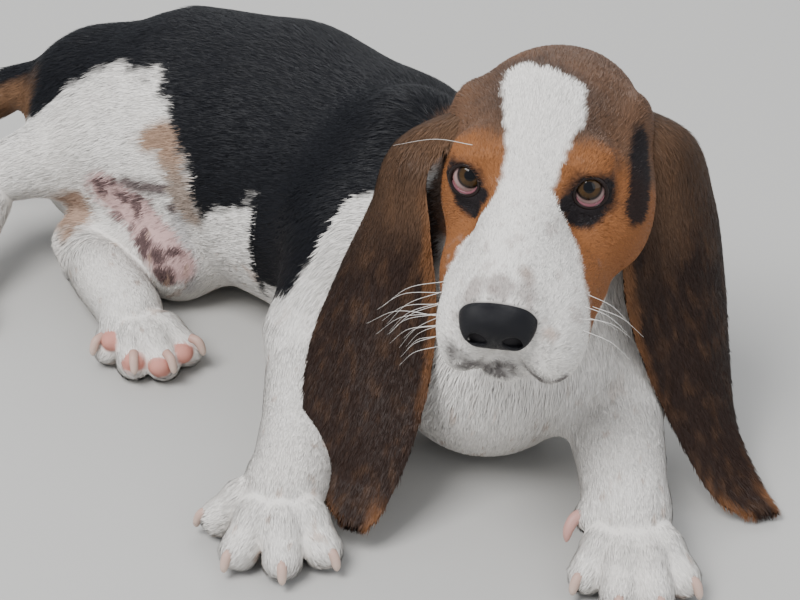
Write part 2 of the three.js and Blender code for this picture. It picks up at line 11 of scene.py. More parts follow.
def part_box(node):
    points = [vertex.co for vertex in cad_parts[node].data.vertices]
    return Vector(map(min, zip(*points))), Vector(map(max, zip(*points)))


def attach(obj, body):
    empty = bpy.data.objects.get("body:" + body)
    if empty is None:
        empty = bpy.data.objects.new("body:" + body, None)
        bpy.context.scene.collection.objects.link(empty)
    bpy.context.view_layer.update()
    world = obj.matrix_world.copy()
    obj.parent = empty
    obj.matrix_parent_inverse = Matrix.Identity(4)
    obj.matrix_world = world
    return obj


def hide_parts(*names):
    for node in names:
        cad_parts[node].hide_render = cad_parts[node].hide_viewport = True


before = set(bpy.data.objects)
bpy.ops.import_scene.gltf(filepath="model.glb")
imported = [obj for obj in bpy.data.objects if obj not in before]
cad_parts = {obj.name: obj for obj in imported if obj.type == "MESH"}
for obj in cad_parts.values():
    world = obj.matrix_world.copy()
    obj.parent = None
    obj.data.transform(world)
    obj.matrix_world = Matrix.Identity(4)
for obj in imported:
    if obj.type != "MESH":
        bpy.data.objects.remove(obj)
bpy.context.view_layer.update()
rng = np.random.default_rng(11)

# Driving dimensions
CELL = 1.45
NOSE_CELL = 0.55
COAT = 1.1
BODY_TUFTS = 380000
BODY_PIECES = 8
EAR_TUFTS = 42000
TUFT_LIFT = 0.09
TUFT_PATCH = 0.0028
BODY_HAIR = 6.2
FOOT_HAIR = 3.2
FORELEG_HAIR = 4.2
HEAD_HAIR = 4.6
FACE_HAIR = 2.2
EAR_HAIR = 4.8
HEAD_AT = (68.5, -126, 167)
HEAD_YAW = -13.4
HEAD_DIP = 7
HEAD_ROLL = 1
EYE_START = (20, 20.5, 6)
EYE_AXIS = (0.95, 0.25, 0.05)
EYE_R = 9.6
EYE_PROUD = 3.2
LIDS_UP = 1.25
LIDS_DOWN = 0.82
LID_RIM_R = 1.0
HAW_R = 0.85
TOE_R = 10.5
TOE_PAD_R = 5.6
CLAW_R = 2.5
DEWCLAW_R = 3.0
EAR_THICK = 5.2
EAR_BOW = 9
LOOKS_AT = (0, -1018, 660)
CAMERA_PITCH = 32
CAMERA_AWAY = 1200
CAMERA_LENS = 97.2
CAMERA_SENSOR = 36

# Colours, as linear light
WHITE = (0.84, 0.80, 0.75)
BLACK = (0.0045, 0.0048, 0.0070)
BROWN = (0.130, 0.066, 0.036)
TAN = (0.25, 0.097, 0.034)
EAR_DARK = (0.024, 0.012, 0.008)
EAR_TOP = (0.125, 0.068, 0.038)
PINK = (0.60, 0.37, 0.35)
SPOT = (0.075, 0.045, 0.045)
BLUSH = (0.70, 0.62, 0.54)
GREY = (0.34, 0.32, 0.33)
FOLD_HIGH = (0.25, 0.115, 0.045)
HOCK_TAN = (0.32, 0.155, 0.075)
# Painted shade in the gap along the right ear's root, where the ear meets the head and neck
EAR_ROOT_SHADE = (0.040, 0.022, 0.014)
PAD_DARK = (0.022, 0.018, 0.018)
PAD_PINK = (0.56, 0.25, 0.20)
TICKING = (0.45, 0.30, 0.22)
TAIL_UNDER = (0.15, 0.078, 0.040)
HEAD_DARK = (0.08, 0.045, 0.028)
BLAZE_SHADE = (0.045, 0.028, 0.020)
FRECKLES = (0.38, 0.30, 0.27)
LIP_DARK = (0.05, 0.035, 0.035)
LIP_MOTTLE = (0.055, 0.045, 0.045)
EYE_RING = (0.012, 0.009, 0.010)
LEATHER_EDGE = (0.012, 0.011, 0.013)
EAR_STREAK = (0.10, 0.05, 0.025)
EAR_EDGE = (0.21, 0.090, 0.036)
EAR_UNDER = (0.15, 0.072, 0.036)
PUPIL = (0.003, 0.003, 0.004)
IRIS_RIM = (0.012, 0.008, 0.007)
EYE_WHITE = (0.30, 0.20, 0.19)
EYE_BACK = (0.34, 0.12, 0.11)
LID_RIM = (0.016, 0.010, 0.009)
HAW = (0.20, 0.080, 0.095)
DEWCLAW = (0.50, 0.28, 0.24)
LEATHER = (0.006, 0.006, 0.008)
WHISKER = (0.75, 0.72, 0.68)
FLOOR = (0.46, 0.45, 0.43)
FOLD_LOW = (0.20, 0.13, 0.088)
IRIS = (0.052, 0.027, 0.009)
CLAW_ROOT = (0.46, 0.27, 0.22)
CLAW_TIP = (0.62, 0.50, 0.42)


def array(*values):
    return np.array(values, float)


# Distance fields: functions of an array of points, negative inside the shape
def limb(a, b, ra, rb):
    a, b = array(*a), array(*b)
    along = b - a
    length2 = along @ along

    def field(p):
        q = p - a
        t = np.clip(q @ along / length2, 0, 1)
        return np.linalg.norm(q - t[:, None] * along, axis=1) - ra - t * (rb - ra)

    return field


def run(points):
    parts = [limb(p[:3], q[:3], p[3], q[3]) for p, q in zip(points, points[1:])]
    return lambda p: np.minimum.reduce([part(p) for part in parts])


def egg(centre, radii):
    centre, radii = array(*centre), array(*radii)

    def field(p):
        q = (p - centre) / radii
        k0 = np.linalg.norm(q, axis=1)
        k1 = np.linalg.norm(q / radii, axis=1) + 1e-9
        return k0 * (k0 - 1) / k1

    return field


def smooth_min(a, b, k):
    h = np.maximum(k - np.abs(a - b), 0) / k
    return np.minimum(a, b) - h * h * k * 0.25


def blend(k, *parts):
    def field(p):
        d = parts[0](p)
        for part in parts[1:]:
            d = smooth_min(d, part(p), k)
        return d

    return field


def both(part):
    return lambda p: part(np.stack([p[:, 0], np.abs(p[:, 1]), p[:, 2]], 1))


def near(part, low, high, margin=30):
    """The field of a part, worked out only near the box that holds it."""
    low, high = array(*low) - margin, array(*high) + margin

    def field(p):
        outside = np.maximum(np.maximum(low - p, p - high), 0)
        d = np.linalg.norm(outside, axis=1) + margin
        close = d <= margin
        if close.any():
            d[close] = part(p[close])
        return d

    return field


def turn(axis, degrees):
    return np.array(Matrix.Rotation(math.radians(degrees), 3, axis))


HEAD_TURN = (
    np.array([[0, 1, 0], [-1, 0, 0], [0, 0, 1]], float)
    @ turn("Z", HEAD_YAW) @ turn("Y", HEAD_DIP) @ turn("X", HEAD_ROLL)
)


def to_head(p):
    return (p - array(*HEAD_AT)) @ HEAD_TURN


def from_head(p):
    return np.asarray(p, float) @ HEAD_TURN.T + array(*HEAD_AT)


# Head, in its own frame: forward, left, up
skull = blend(
    12,
    egg((-10, 0, -2), (56, 44, 31)),
    egg((22, 0, 5), (36, 36, 26)),
    egg((-36, 0, -10), (30, 32, 28)),
    both(egg((20, 26, -14), (34, 20, 26))),
    both(egg((-8, 39, -3), (22, 9, 20))),
    egg((24, 36, -20), (30, 18, 27)),
)
muzzle = blend(
    9,
    limb((46, 0, -6), (106, 0, -14), 22, 18),
    egg((84, 15, -24), (36, 17, 20)),
    egg((86, -13.5, -25), (34, 15.5, 19)),
    egg((94, 21, -36), (28, 15, 21)),
    egg((99, -18, -34), (24, 13, 19)),
    both(egg((56, 25, -34), (30, 14, 22))),
)
jaw = blend(8, limb((6, 0, -36), (90, 0, -44), 24, 13), egg((99, 0, -49), (15, 13, 10)))
brows = both(egg((38, 24, 16), (13, 13, 8)))
nose_pad = egg((112, 0, -15.5), (14.5, 18.5, 13.8))
head_local = blend(5, blend(9, skull, muzzle, jaw, brows), nose_pad)


def nose_edge(p):
    """Negative where the leather is, seen from in front: broad above and narrow below."""
    narrow = 1 - 0.3 * np.clip((-p[:, 2] - 12) / 17, 0, 1)
    return np.hypot(p[:, 1] / narrow / 18.2, (p[:, 2] + 16) / 13.4) - 1


# Neck, torso, tail and legs
SPINE = [
    (42, -118, 62, 52), (25, -70, 66, 62), (-15, -10, 67, 70),
    (-65, 35, 72, 71), (-115, 62, 71, 67), (-165, 82, 64, 47),
]
neck = blend(
    20,
    limb((62, -104, 136), (34, -84, 88), 36, 52),
    limb((60, -134, 118), (50, -138, 66), 34, 44),
)
torso = blend(
    22,
    egg((42, -128, 50), (48, 50, 52)),
    *[limb(p[:3], q[:3], p[3], q[3]) for p, q in zip(SPINE, SPINE[1:])],
    egg((-150, 80, 42), (52, 48, 44)),
)
TAIL = [
    (-190, 94, 86, 20), (-222, 103, 80, 13.5), (-285, 104, 45, 11),
    (-330, 92, 15, 8), (-360, 75, 5.5, 6),
]
LEGS = {
    "fore_right": {
        "upper": [((5, -50, 118), (-20, -75, 85), 36, 34), ((-20, -75, 85), (-42, -98, 42), 34, 27)],
        "lower": [(-42, -98, 38, 26), (-47, -160, 30, 21), (-50, -192, 26, 21)],
        "palm": (-55, -205, 22),
        "radius": 20,
        "toes": [(-84, -208, 9.5), (-74, -233, 9.5), (-54, -240, 9.5), (-36, -232, 9.5)],
    },
    "fore_left": {
        "upper": [((78, -60, 112), (98, -110, 75), 34, 32), ((98, -110, 75), (102, -150, 42), 32, 27)],
        "lower": [(102, -150, 40, 26), (104, -195, 34, 22), (104, -214, 30, 21)],
        "palm": (105, -228, 24),
        "radius": 20,
        "toes": [(86, -250, 9.5), (99, -264, 9.5), (114, -265, 9.5), (127, -253, 9.5)],
        "dew_toe": [(97, -226, 29), (88, -230, 27)],
    },
    "hind_left": {
        "upper": [((-150, 72, 55), (-122, 8, 30), 40, 28)],
        "lower": [(-122, 8, 28, 28), (-175, 24, 22, 19), (-160, -11, 22, 19.5), (-146, -38, 20, 18.5)],
        "palm": (-142, -50, 18),
        "radius": 16,
        "toes": [(-153, -62, 10), (-139, -76, 9.5), (-124, -77, 9.5), (-114, -65, 10)],
    },
    "hind_right": {
        "upper": [((-165, 80, 85), (-142, 45, 86), 42, 34), ((-142, 45, 86), (-160, 42, 80), 34, 30)],
        "lower": [(-160, 42, 80, 29), (-225, 47, 54, 17), (-230, 42, 48, 16), (-244, 0, 22, 16)],
        "palm": (-248, -14, 18),
        "radius": 16,
        "toes": [(-268, -26, 9.5), (-259, -39, 9.5), (-244, -42, 9.5), (-232, -34, 9.5)],
    },
}


def foot(leg):
    palm, palm_radius = leg["palm"], leg["radius"]
    toes = []
    for tip in leg["toes"]:
        knuckle = [c + (t - c) * 0.62 for c, t in zip(palm, tip)]
        knuckle[2] += 5
        inner = limb(palm, knuckle, palm_radius * 0.8, TOE_R)
        toes.append(blend(4, inner, limb(knuckle, tip, TOE_R, TOE_R)))
    if "dew_toe" in leg:
        toes.append(limb(*leg["dew_toe"], 11, 9))
    heel = [palm[0] + 1, palm[1] + 1, palm[2]]
    return blend(1.8, *toes, limb(palm, heel, palm_radius, palm_radius))


def leg_field(leg):
    upper = blend(12, *[limb(*part) for part in leg["upper"]])
    field = blend(8, upper, run(leg["lower"]), foot(leg))
    ends = [part[0] for part in leg["upper"]] + [part[1] for part in leg["upper"]]
    ends += [point[:3] for point in leg["lower"]] + leg["toes"]
    return near(field, np.min(ends, 0) - 42, np.max(ends, 0) + 42, 20)


# Eyes: each one's frame has its axis first, then along the lids, then up
def on_skin(point):
    """The point moved onto the head's surface."""
    p = array(*point)[None]
    for _ in range(12):
        d = head_local(p)[0]
        slope = array(*[(head_local(p + axis * 0.05)[0] - d) / 0.05 for axis in np.eye(3)])
        p = p - 0.8 * d * slope / (slope @ slope)
    return p[0]


def eye_frame(side):
    axis = array(*EYE_AXIS) / np.linalg.norm(EYE_AXIS)
    start = array(*EYE_START)
    axis[1] *= side
    start[1] *= side
    depth = 0
    while head_local((start + axis * depth)[None])[0] < 0:
        depth += 0.1
    centre = start + axis * (depth - EYE_R + EYE_PROUD)
    along = np.cross([0, 0, 1], axis)
    along /= np.linalg.norm(along)
    return centre, np.stack([axis, along, np.cross(axis, along)], 1)


EYES = {"left": eye_frame(1), "right": eye_frame(-1)}
LIPS = [
    (48, -33, -46), (70, -28, -52), (92, -18, -56), (108, -9, -50), (113, 0, -42),
    (108, 9, -50), (92, 20, -60), (70, 29, -56), (48, 34, -48),
]


def smooth_curve(points, count):
    """Points along a smooth curve through the given ones."""
    p = np.asarray(points, float)
    p = np.concatenate([[2 * p[0] - p[1]], p, [2 * p[-1] - p[-2]]])
    s = np.linspace(0, len(p) - 3, count)
    i = np.minimum(s.astype(int), len(p) - 4)
    t = (s - i)[:, None]
    a, b, c, d = p[i], p[i + 1], p[i + 2], p[i + 3]
    bend = (2 * a - 5 * b + 4 * c - d) * t**2 + (3 * b - a - 3 * c + d) * t**3
    return 0.5 * (2 * b + (c - a) * t + bend)


lip_line = smooth_curve([on_skin(p) for p in LIPS], 60)


def to_line(p, line):
    """Distance from each point to the nearest of a line's points."""
    return np.min(np.linalg.norm(p[:, None, :] - line[None], axis=2), axis=1)


def lid_opening(q):
    """Negative between the lids of an eye, at points given in the eye's frame."""
    x = np.maximum(q[:, 0], 0.5)
    tall = np.where(q[:, 2] > 0, LIDS_UP, LIDS_DOWN)
    edge = np.hypot(q[:, 1] / x, q[:, 2] / x / tall)
    return np.where(q[:, 0] > 0.5, (edge - 1) * x * 0.75, 9)


def head_carved(p):
    d = head_local(p)
    for centre, basis in EYES.values():
        close = np.linalg.norm(p - centre, axis=1) < 22
        if close.any():
            q = (p[close] - centre) @ basis
            r = np.linalg.norm(q, axis=1)
            opening = lid_opening(q) + 0.5
            lids = np.maximum(r - EYE_R - 2.5, -opening)
            body = smooth_min(d[close], lids, 3)
            body = -smooth_min(-body, np.maximum(opening, r - EYE_R - 9), 0.8)
            d[close] = np.maximum(body, EYE_R - 0.5 - r)
    low = (p[:, 0] > 40) & (p[:, 2] < -30) & (np.abs(d) < 6)
    if low.any():
        groove = to_line(p[low], lip_line) - 1.5
        d[low] = -smooth_min(-d[low], groove, 1.5)
    return d


head_field = near(lambda p: head_carved(to_head(p)), (0, -270, 95), (130, -60, 215), 20)
tail_field = near(run(TAIL), (-370, 60, -5), (-170, 125, 110), 20)
trunk = near(blend(24, neck, torso), (-225, -190, -5), (110, 150, 190), 20)
dog = blend(14, head_field, trunk, tail_field, *[leg_field(leg) for leg in LEGS.values()])


def coat_depth(p):
    """How far the skin lies inside the outer form: less on the face."""
    face = 1 / (1 + np.exp((np.linalg.norm(p - from_head((80, 0, -20)), axis=1) - 60) / 8))
    return COAT * (1 - 0.6 * face)


PADS = array((-151, -69, 18), (-138, -81, 13.5), (-125, -84, 12), (-114, -74, 13))


def to_pads(p):
    return np.min([np.linalg.norm((p - pad) / array(1, 1, 0.85), axis=1) for pad in PADS], axis=0)


def skin_field(p):
    d = dog(p) + coat_depth(p)
    close = (p[:, 0] < -90) & (p[:, 1] < -50) & (p[:, 2] < 40) & (np.abs(d) < 9)
    if close.any():
        d[close] = smooth_min(d[close], to_pads(p[close]) - TOE_PAD_R, 1.2)
    return np.maximum(d, 0.2 - p[:, 2])


def surface(field, low, high, cell, levels=3):
    """The field's surface as quads, from a grid that is fine only beside it."""
    low = array(*low)
    coarse = cell * 2**levels
    size = np.ceil((array(*high) - low) / coarse).astype(int)
    cells = np.stack(np.meshgrid(*[np.arange(s) for s in size], indexing="ij"), -1).reshape(-1, 3)
    children = np.array([[i, j, k] for i in (0, 1) for j in (0, 1) for k in (0, 1)])
    for _ in range(levels):
        d = field(low + (cells + 0.5) * coarse)
        cells = cells[np.abs(d) < coarse * 1.05 + 1.5]
        cells = (cells[:, None] * 2 + children).reshape(-1, 3)
        coarse /= 2
    count = size * 2**levels + 2

    def key(c):
        return (c[..., 0] * count[1] + c[..., 1]) * count[2] + c[..., 2]

    corner_keys = key(cells[:, None] + children)
    nodes, back = np.unique(corner_keys, return_inverse=True)
    grid = np.stack([nodes // (count[1] * count[2]), nodes // count[2] % count[1], nodes % count[2]], 1)
    value = field(low + grid * cell)
    v = value[back].reshape(-1, 8)
    crossing = (v < 0).any(1) & (v >= 0).any(1)
    cells, v = cells[crossing], v[crossing]
    order = np.argsort(key(cells))
    cells, v = cells[order], v[order]
    total = np.zeros((len(cells), 3))
    number = np.zeros(len(cells))
    for a in range(8):
        for bit in (1, 2, 4):
            if a & bit:
                continue
            b = a | bit
            cut = (v[:, a] < 0) != (v[:, b] < 0)
            t = np.where(cut, v[:, a] / np.where(cut, v[:, a] - v[:, b], 1), 0)[:, None]
            total += np.where(cut[:, None], children[a] + t * (children[b] - children[a]), 0)
            number += cut
    points = low + (cells + total / number[:, None]) * cell
    keys = key(cells)
    quads = []
    axes = np.eye(3, dtype=int)
    for axis in range(3):
        other = children.tolist().index(axes[axis].tolist())
        here = v[:, 0] < 0
        cut = here != (v[:, other] < 0)
        e1, e2 = axes[(axis + 1) % 3], axes[(axis + 2) % 3]
        ring = [np.zeros(3, int), -e1, -e1 - e2, -e2]
        found = np.stack([np.searchsorted(keys, key(cells[cut] + r)) for r in ring], 1)
        flip = ~here[cut]
        found[flip] = found[flip][:, ::-1]
        quads.append(found)
    quads = np.concatenate(quads)
    return settled(field, points, cell), quads


def gradient(field, p, h=0.15):
    slope = np.stack([field(p + h * e) - field(p - h * e) for e in np.eye(3)], 1)
    return slope / (2 * h)


def settled(field, points, cell):
    """The points moved onto the field's surface, none by more than half a cell."""
    start = points.copy()
    for _ in range(2):
        slope = gradient(field, points)
        points = points - (field(points) / np.maximum((slope**2).sum(1), 0.2))[:, None] * slope
        points = start + np.clip(points - start, -cell / 2, cell / 2)
    return points


def unit(v):
    return v / np.maximum(np.linalg.norm(v, axis=-1, keepdims=True), 1e-9)


# Ears: rows from the front edge to the rear edge, from the root down to the tip
EARS = {
    "left": (1, [
        ((98, -122, 176), (98, -96, 170)), ((112, -142, 160), (138, -98, 156)),
        ((104, -152, 130), (152, -104, 124)), ((106, -160, 98), (158, -116, 90)),
        ((116, -168, 68), (160, -138, 58)), ((132, -179, 36), (163, -160, 30)),
        ((149, -195, 12), (173, -184, 12)), ((165, -202, 4.6), (182, -197, 4.6)),
    ]),
    "right": (-1, [
        ((40, -132, 177), (40, -104, 171)), ((14, -146, 164), (0, -112, 158)),
        ((14, -156, 134), (-14, -118, 128)), ((17, -166, 102), (-30, -132, 98)),
        ((14, -182, 70), (-43, -154, 70)), ((5, -202, 44), (-45, -178, 46)),
        ((-6, -216, 24), (-38, -202, 26)), ((-14, -224, 14), (-28, -218, 14)),
    ]),
}


def ear_shell(out, rows, steps=110, columns=44):
    """Points, quads and (down, across, face) of each vertex of an ear."""
    front = smooth_curve([r[0] for r in rows], steps)
    rear = smooth_curve([r[1] for r in rows], steps)
    s = np.linspace(0, 1, steps)[:, None]
    t = np.linspace(0, 1, columns)[None]
    down = unit(np.gradient(front, axis=0) + np.gradient(rear, axis=0))
    outward = unit(np.cross(rear - front, down))
    outward *= np.where(outward[:, :1] * out < 0, -1, 1)
    bow = np.sin(np.pi * t) * EAR_BOW * np.sin(np.pi * np.minimum(1, s * 1.1 + 0.1))
    bow = bow + 0.5 * np.sin(9 * s + 5 * t) * np.sin(np.pi * t)
    edge = np.sqrt(np.clip(1 - (2 * t - 1) ** 6, 0.0, 1)) * (1 - 0.5 * (2 * t - 1) ** 2)
    tip = np.sqrt(np.clip(1 - np.clip((s - 0.97) / 0.03, 0, 1) ** 2, 0, 1))
    root = 1 + 1.3 * np.clip(1 - s / 0.16, 0, 1)
    thick = (EAR_THICK - COAT) * edge * tip * root
    round_off = np.clip((s - 0.9) / 0.1, 0, 1) ** 2 * 0.22
    tt = 0.5 + (t - 0.5) * (1 - round_off)
    middle = front[:, None] * (1 - tt[..., None]) + rear[:, None] * tt[..., None]
    middle = middle + outward[:, None] * bow[..., None]
    shells = [middle + outward[:, None] * (f * thick[..., None] / 2) for f in (1, -1)]
    points = np.concatenate([shell.reshape(-1, 3) for shell in shells])
    points[:, 2] = np.maximum(points[:, 2], 0.4)
    i, j = np.meshgrid(np.arange(steps - 1), np.arange(columns - 1), indexing="ij")
    a = (i * columns + j).ravel()
    top = np.stack([a, a + 1, a + columns + 1, a + columns], 1)
    count = steps * columns
    under = top[:, ::-1] + count
    rim = []
    for b in (np.arange(steps - 1) * columns, np.arange(steps - 1) * columns + columns - 1):
        strip = np.stack([b, b + columns, b + columns + count, b + count], 1)
        rim.append(strip if b[0] == 0 else strip[:, ::-1])
    quads = np.concatenate([top, under, *rim])
    if out > 0:
        quads = quads[:, ::-1]
    where = np.stack([np.broadcast_to(s, (steps, columns)), np.broadcast_to(t, (steps, columns))], -1)
    where = np.tile(where.reshape(-1, 2), (2, 1))
    face = np.repeat([1.0, -1.0], count)
    return points, quads, np.column_stack([where, face])


def quad_normals(points, quads):
    a, b, c, d = (points[quads[:, i]] for i in range(4))
    n = np.cross(c - a, d - b)
    total = np.zeros_like(points)
    for i in range(4):
        np.add.at(total, quads[:, i], n)
    return unit(total)


# Noise made of hashed lattice values, used for ragged edges and spots
def hashed(i):
    h = (i[..., 0] * 374761393 + i[..., 1] * 668265263 + i[..., 2] * 2147483647) & 0xFFFFFFFF
    h = ((h ^ (h >> 13)) * 1274126177) & 0xFFFFFFFF
    return ((h ^ (h >> 16)) & 0xFFFF) / 65535.0


def noise(p, size):
    q = p / size
    base = np.floor(q).astype(np.int64)
    f = q - base
    f = f * f * (3 - 2 * f)
    result = 0
    for i in (0, 1):
        for j in (0, 1):
            for k in (0, 1):
                w = np.abs(1 - i - f[:, 0]) * np.abs(1 - j - f[:, 1]) * np.abs(1 - k - f[:, 2])
                result = result + w * hashed(base + np.array([i, j, k]))
    return result * 2 - 1


def step(x, width):
    """0 below, 1 above, over about the given width."""
    return np.clip(0.5 + x / width, 0, 1)


def mix(base, other, amount):
    return base + (np.asarray(other) - base) * amount[:, None]


spine_line = array(*[p[:3] for p in SPINE], (-200, 96, 84))
spine_length = np.concatenate([[0], np.cumsum(np.linalg.norm(np.diff(spine_line, axis=0), axis=1))])


def round_spine(p):
    """How far along the spine each point lies, and its angle from the top, less than 0 on the right."""
    best = np.full(len(p), 1e9)
    s = np.zeros(len(p))
    angle = np.zeros(len(p))
    for i, (a, b) in enumerate(zip(spine_line, spine_line[1:])):
        along = unit(b - a)
        length = np.linalg.norm(b - a)
        t = np.clip((p - a) @ along, 0, length)
        v = p - a - t[:, None] * along
        d = np.linalg.norm(v, axis=1)
        side = unit(np.cross(along, [0, 0, 1]))
        top = np.cross(side, along)
        closer = d < best
        best[closer] = d[closer]
        s[closer] = spine_length[i] + t[closer]
        angle[closer] = np.degrees(np.arctan2(v @ side, v @ top))[closer]
    return s, angle


# The saddle's edges, as distance along the spine and angle from the top
SADDLE_RIGHT = [
    (-20, -22), (0, -24), (19, -31), (40, -36), (46, -44), (52, -62), (61, -75), (68, -86), (90, -100),
    (130, -118), (137, -118), (139.5, -72), (150, -77), (164, -86), (172, -94), (178, -87), (202, -74),
    (211, -62), (217, -53), (225, -45), (234, -37), (246, -36), (259, -31), (269, -37), (300, -40),
    (323, -43), (329, -62), (344, -97), (380, -180),
]
SADDLE_LEFT = [
    (0, 22), (40, 34), (60, 70), (100, 95), (150, 92), (200, 80), (240, 60), (325, 60), (344, 100),
    (380, 180),
]
FOLD = [(-132, -4, 104), (-120, -8, 108), (-115, -22, 84), (-109, -28, 68)]
BELLY = [(-158, 4, 66), (-140, -8, 60), (-122, -22, 36)]
BELLY_DARK = [(-152, 3, 74), (-138, -6, 77), (-124, -15, 79)]
BELLY_SPOTS = [
    ((-148, -1, 67), 5), ((-138, -12, 45), 4), ((-131, -18, 41), 4), ((-126, -21, 28), 5),
    ((-120, -22, 70), 4),
]
TOE_PADS = [((79, -257, 6), 6.5), ((99, -274, 4), 6.5), ((-94, -211, 7), 6)]
GREY_SKIN = [(-116, -23, 64), (-113, -20, 20)]
# The blaze's edges in the head's frame, as distance forward and to the left
BLAZE_LEFT = [
    (-22, -14), (-18, -8), (-14, 2), (-5, 15), (6, 19), (22, 20), (40, 18), (49, 16), (57, 12), (60, 16),
    (63, 22), (76, 29), (86, 33), (96, 36), (102, 60),
]
BLAZE_RIGHT = [
    (-22, -16), (-16, -22), (-3, -22), (22, -16), (41, -11), (50, -9), (56, -10), (65, -15), (67, -23),
    (74, -28), (80, -30), (86, -36), (92, -60),
]
MOUTH_TINT = [
    (122, -20, -30), (118, -13, -41), (113, -5, -48), (114, 6, -45), (120, 16, -41), (116, 27, -46),
]
MUZZLE_SPOTS = (
    ((105, 10, 2), 3.6, (0.36, 0.27, 0.22), 0.75),
    ((114, -11, -2), 6.5, (0.26, 0.20, 0.18), 0.6),
    ((115, 0, 1), 6.5, (0.22, 0.17, 0.155), 0.6),
    ((113, 12, 0), 6.5, (0.26, 0.20, 0.18), 0.5),
    ((118, 21, -19), 3, (0.46, 0.27, 0.18), 0.6),
)


def to_run(p, points):
    """Distance from each point to a run of straight lines."""
    best = np.full(len(p), 1e9)
    for a, b in zip(points, points[1:]):
        best = np.minimum(best, limb(a, b, 0, 0)(p))
    return best


def table(rows, x):
    rows = array(*rows)
    return np.interp(x, rows[:, 0], rows[:, 1])


def body_colour(p):
    s, angle = round_spine(p)
    ragged = 5 * noise(p, 9) + 3 * noise(p, 3)
    right = angle - table(SADDLE_RIGHT, s)
    left = table(SADDLE_LEFT, s) - angle
    inside = np.minimum(right, left) + ragged * np.clip(s / 60, 0.3, 1)
    inside = np.minimum(inside, p[:, 1] + 100 + np.clip(20 - p[:, 0], 0, 20))
    colour = np.tile(array(*WHITE), (len(p), 1))
    blush = np.clip(noise(p, 26) * 0.5 + 0.2, 0, 1)
    colour = mix(colour, BLUSH, blush * 0.25)
    grey = 1 - step(to_run(p, GREY_SKIN) - 6 + ragged * 0.4, 7)
    colour = mix(colour, GREY, grey * 0.6)
    belly = 1 - step(to_run(p, BELLY) - 13 + ragged * 0.2, 4)
    colour = mix(colour, PINK, belly * 0.9)
    dark = 1 - step(to_run(p, BELLY_DARK) - 4 + ragged * 0.5, 4)
    for centre, radius in BELLY_SPOTS:
        d = np.linalg.norm((p - array(*centre)) / array(1.2, 1.2, 1), axis=1)
        dark = np.maximum(dark, 1 - step(d - radius + ragged * 0.35, 2.5))
    dark = np.maximum(dark, belly * step(noise(p + 40, 7) - 0.45, 0.16))
    colour = mix(colour, SPOT, dark * 0.9)
    fold_at = to_run(p, FOLD)
    fold = 1 - step(fold_at - 7.5 + ragged * 0.5, 5)
    fold_tint = np.tile(array(*FOLD_LOW), (len(p), 1))
    fold_tint = mix(fold_tint, FOLD_HIGH, step(p[:, 2] - 92, 14))
    colour = mix(colour, fold_tint, fold * 0.85)
    black = step(inside, 5)
    colour = mix(colour, BLACK, black)
    hock = 1 - step(np.linalg.norm(p - array(-179, 22, 44), axis=1) - 14 + ragged, 8)
    colour = mix(colour, HOCK_TAN, hock * 0.8)
    nape = np.minimum(
        limb((66, -126, 160), (52, -84, 128), 42, 40)(p),
        limb(from_head((10, 0, 2)), from_head((-38, 0, -2)), 50, 36)(p),
    )
    colour = mix(colour, BROWN, 1 - step(nape + ragged, 10))
    # Painted shade in the gap along the right ear's root, where the ear meets the head and neck
    ear_root_shade = 1 - step(limb((24, -116, 172), (24, -134, 92), 22, 17)(p) + 0.6 * ragged, 8)
    colour = mix(colour, EAR_ROOT_SHADE, ear_root_shade)
    front_foot = (p[:, 1] < -200) & (p[:, 2] < 12)
    pad = front_foot * (1 - step(p[:, 2] - 4.5 + 0.4 * ragged, 3))
    for centre, radius in TOE_PADS:
        d = np.linalg.norm(p - array(*centre), axis=1)
        pad = np.maximum(pad, 1 - step(d - radius + ragged * 0.25, 2))
    colour = mix(colour, PAD_DARK, pad * 0.92)
    hind = (p[:, 0] < -90) & (p[:, 1] < -40) & (p[:, 2] < 45)
    if hind.any():
        pink = 1 - step(to_pads(p[hind]) - 7 + 0.2 * ragged[hind], 1.6)
        colour[hind] = mix(colour[hind], PAD_PINK, pink)
    tick = step(noise(p + 90, 5) - 0.66, 0.1) * step(60 - p[:, 2], 20)
    return mix(colour, TICKING, tick * 0.5 * (1 - black))


def tail_colour(p, n):
    colour = np.tile(array(*BLACK), (len(p), 1))
    colour = mix(colour, TAIL_UNDER, step(-n[:, 2] + 0.55 + 0.2 * noise(p, 8), 0.4))
    return mix(colour, WHITE, step(-p[:, 0] - 335 + 4 * noise(p, 5), 8))


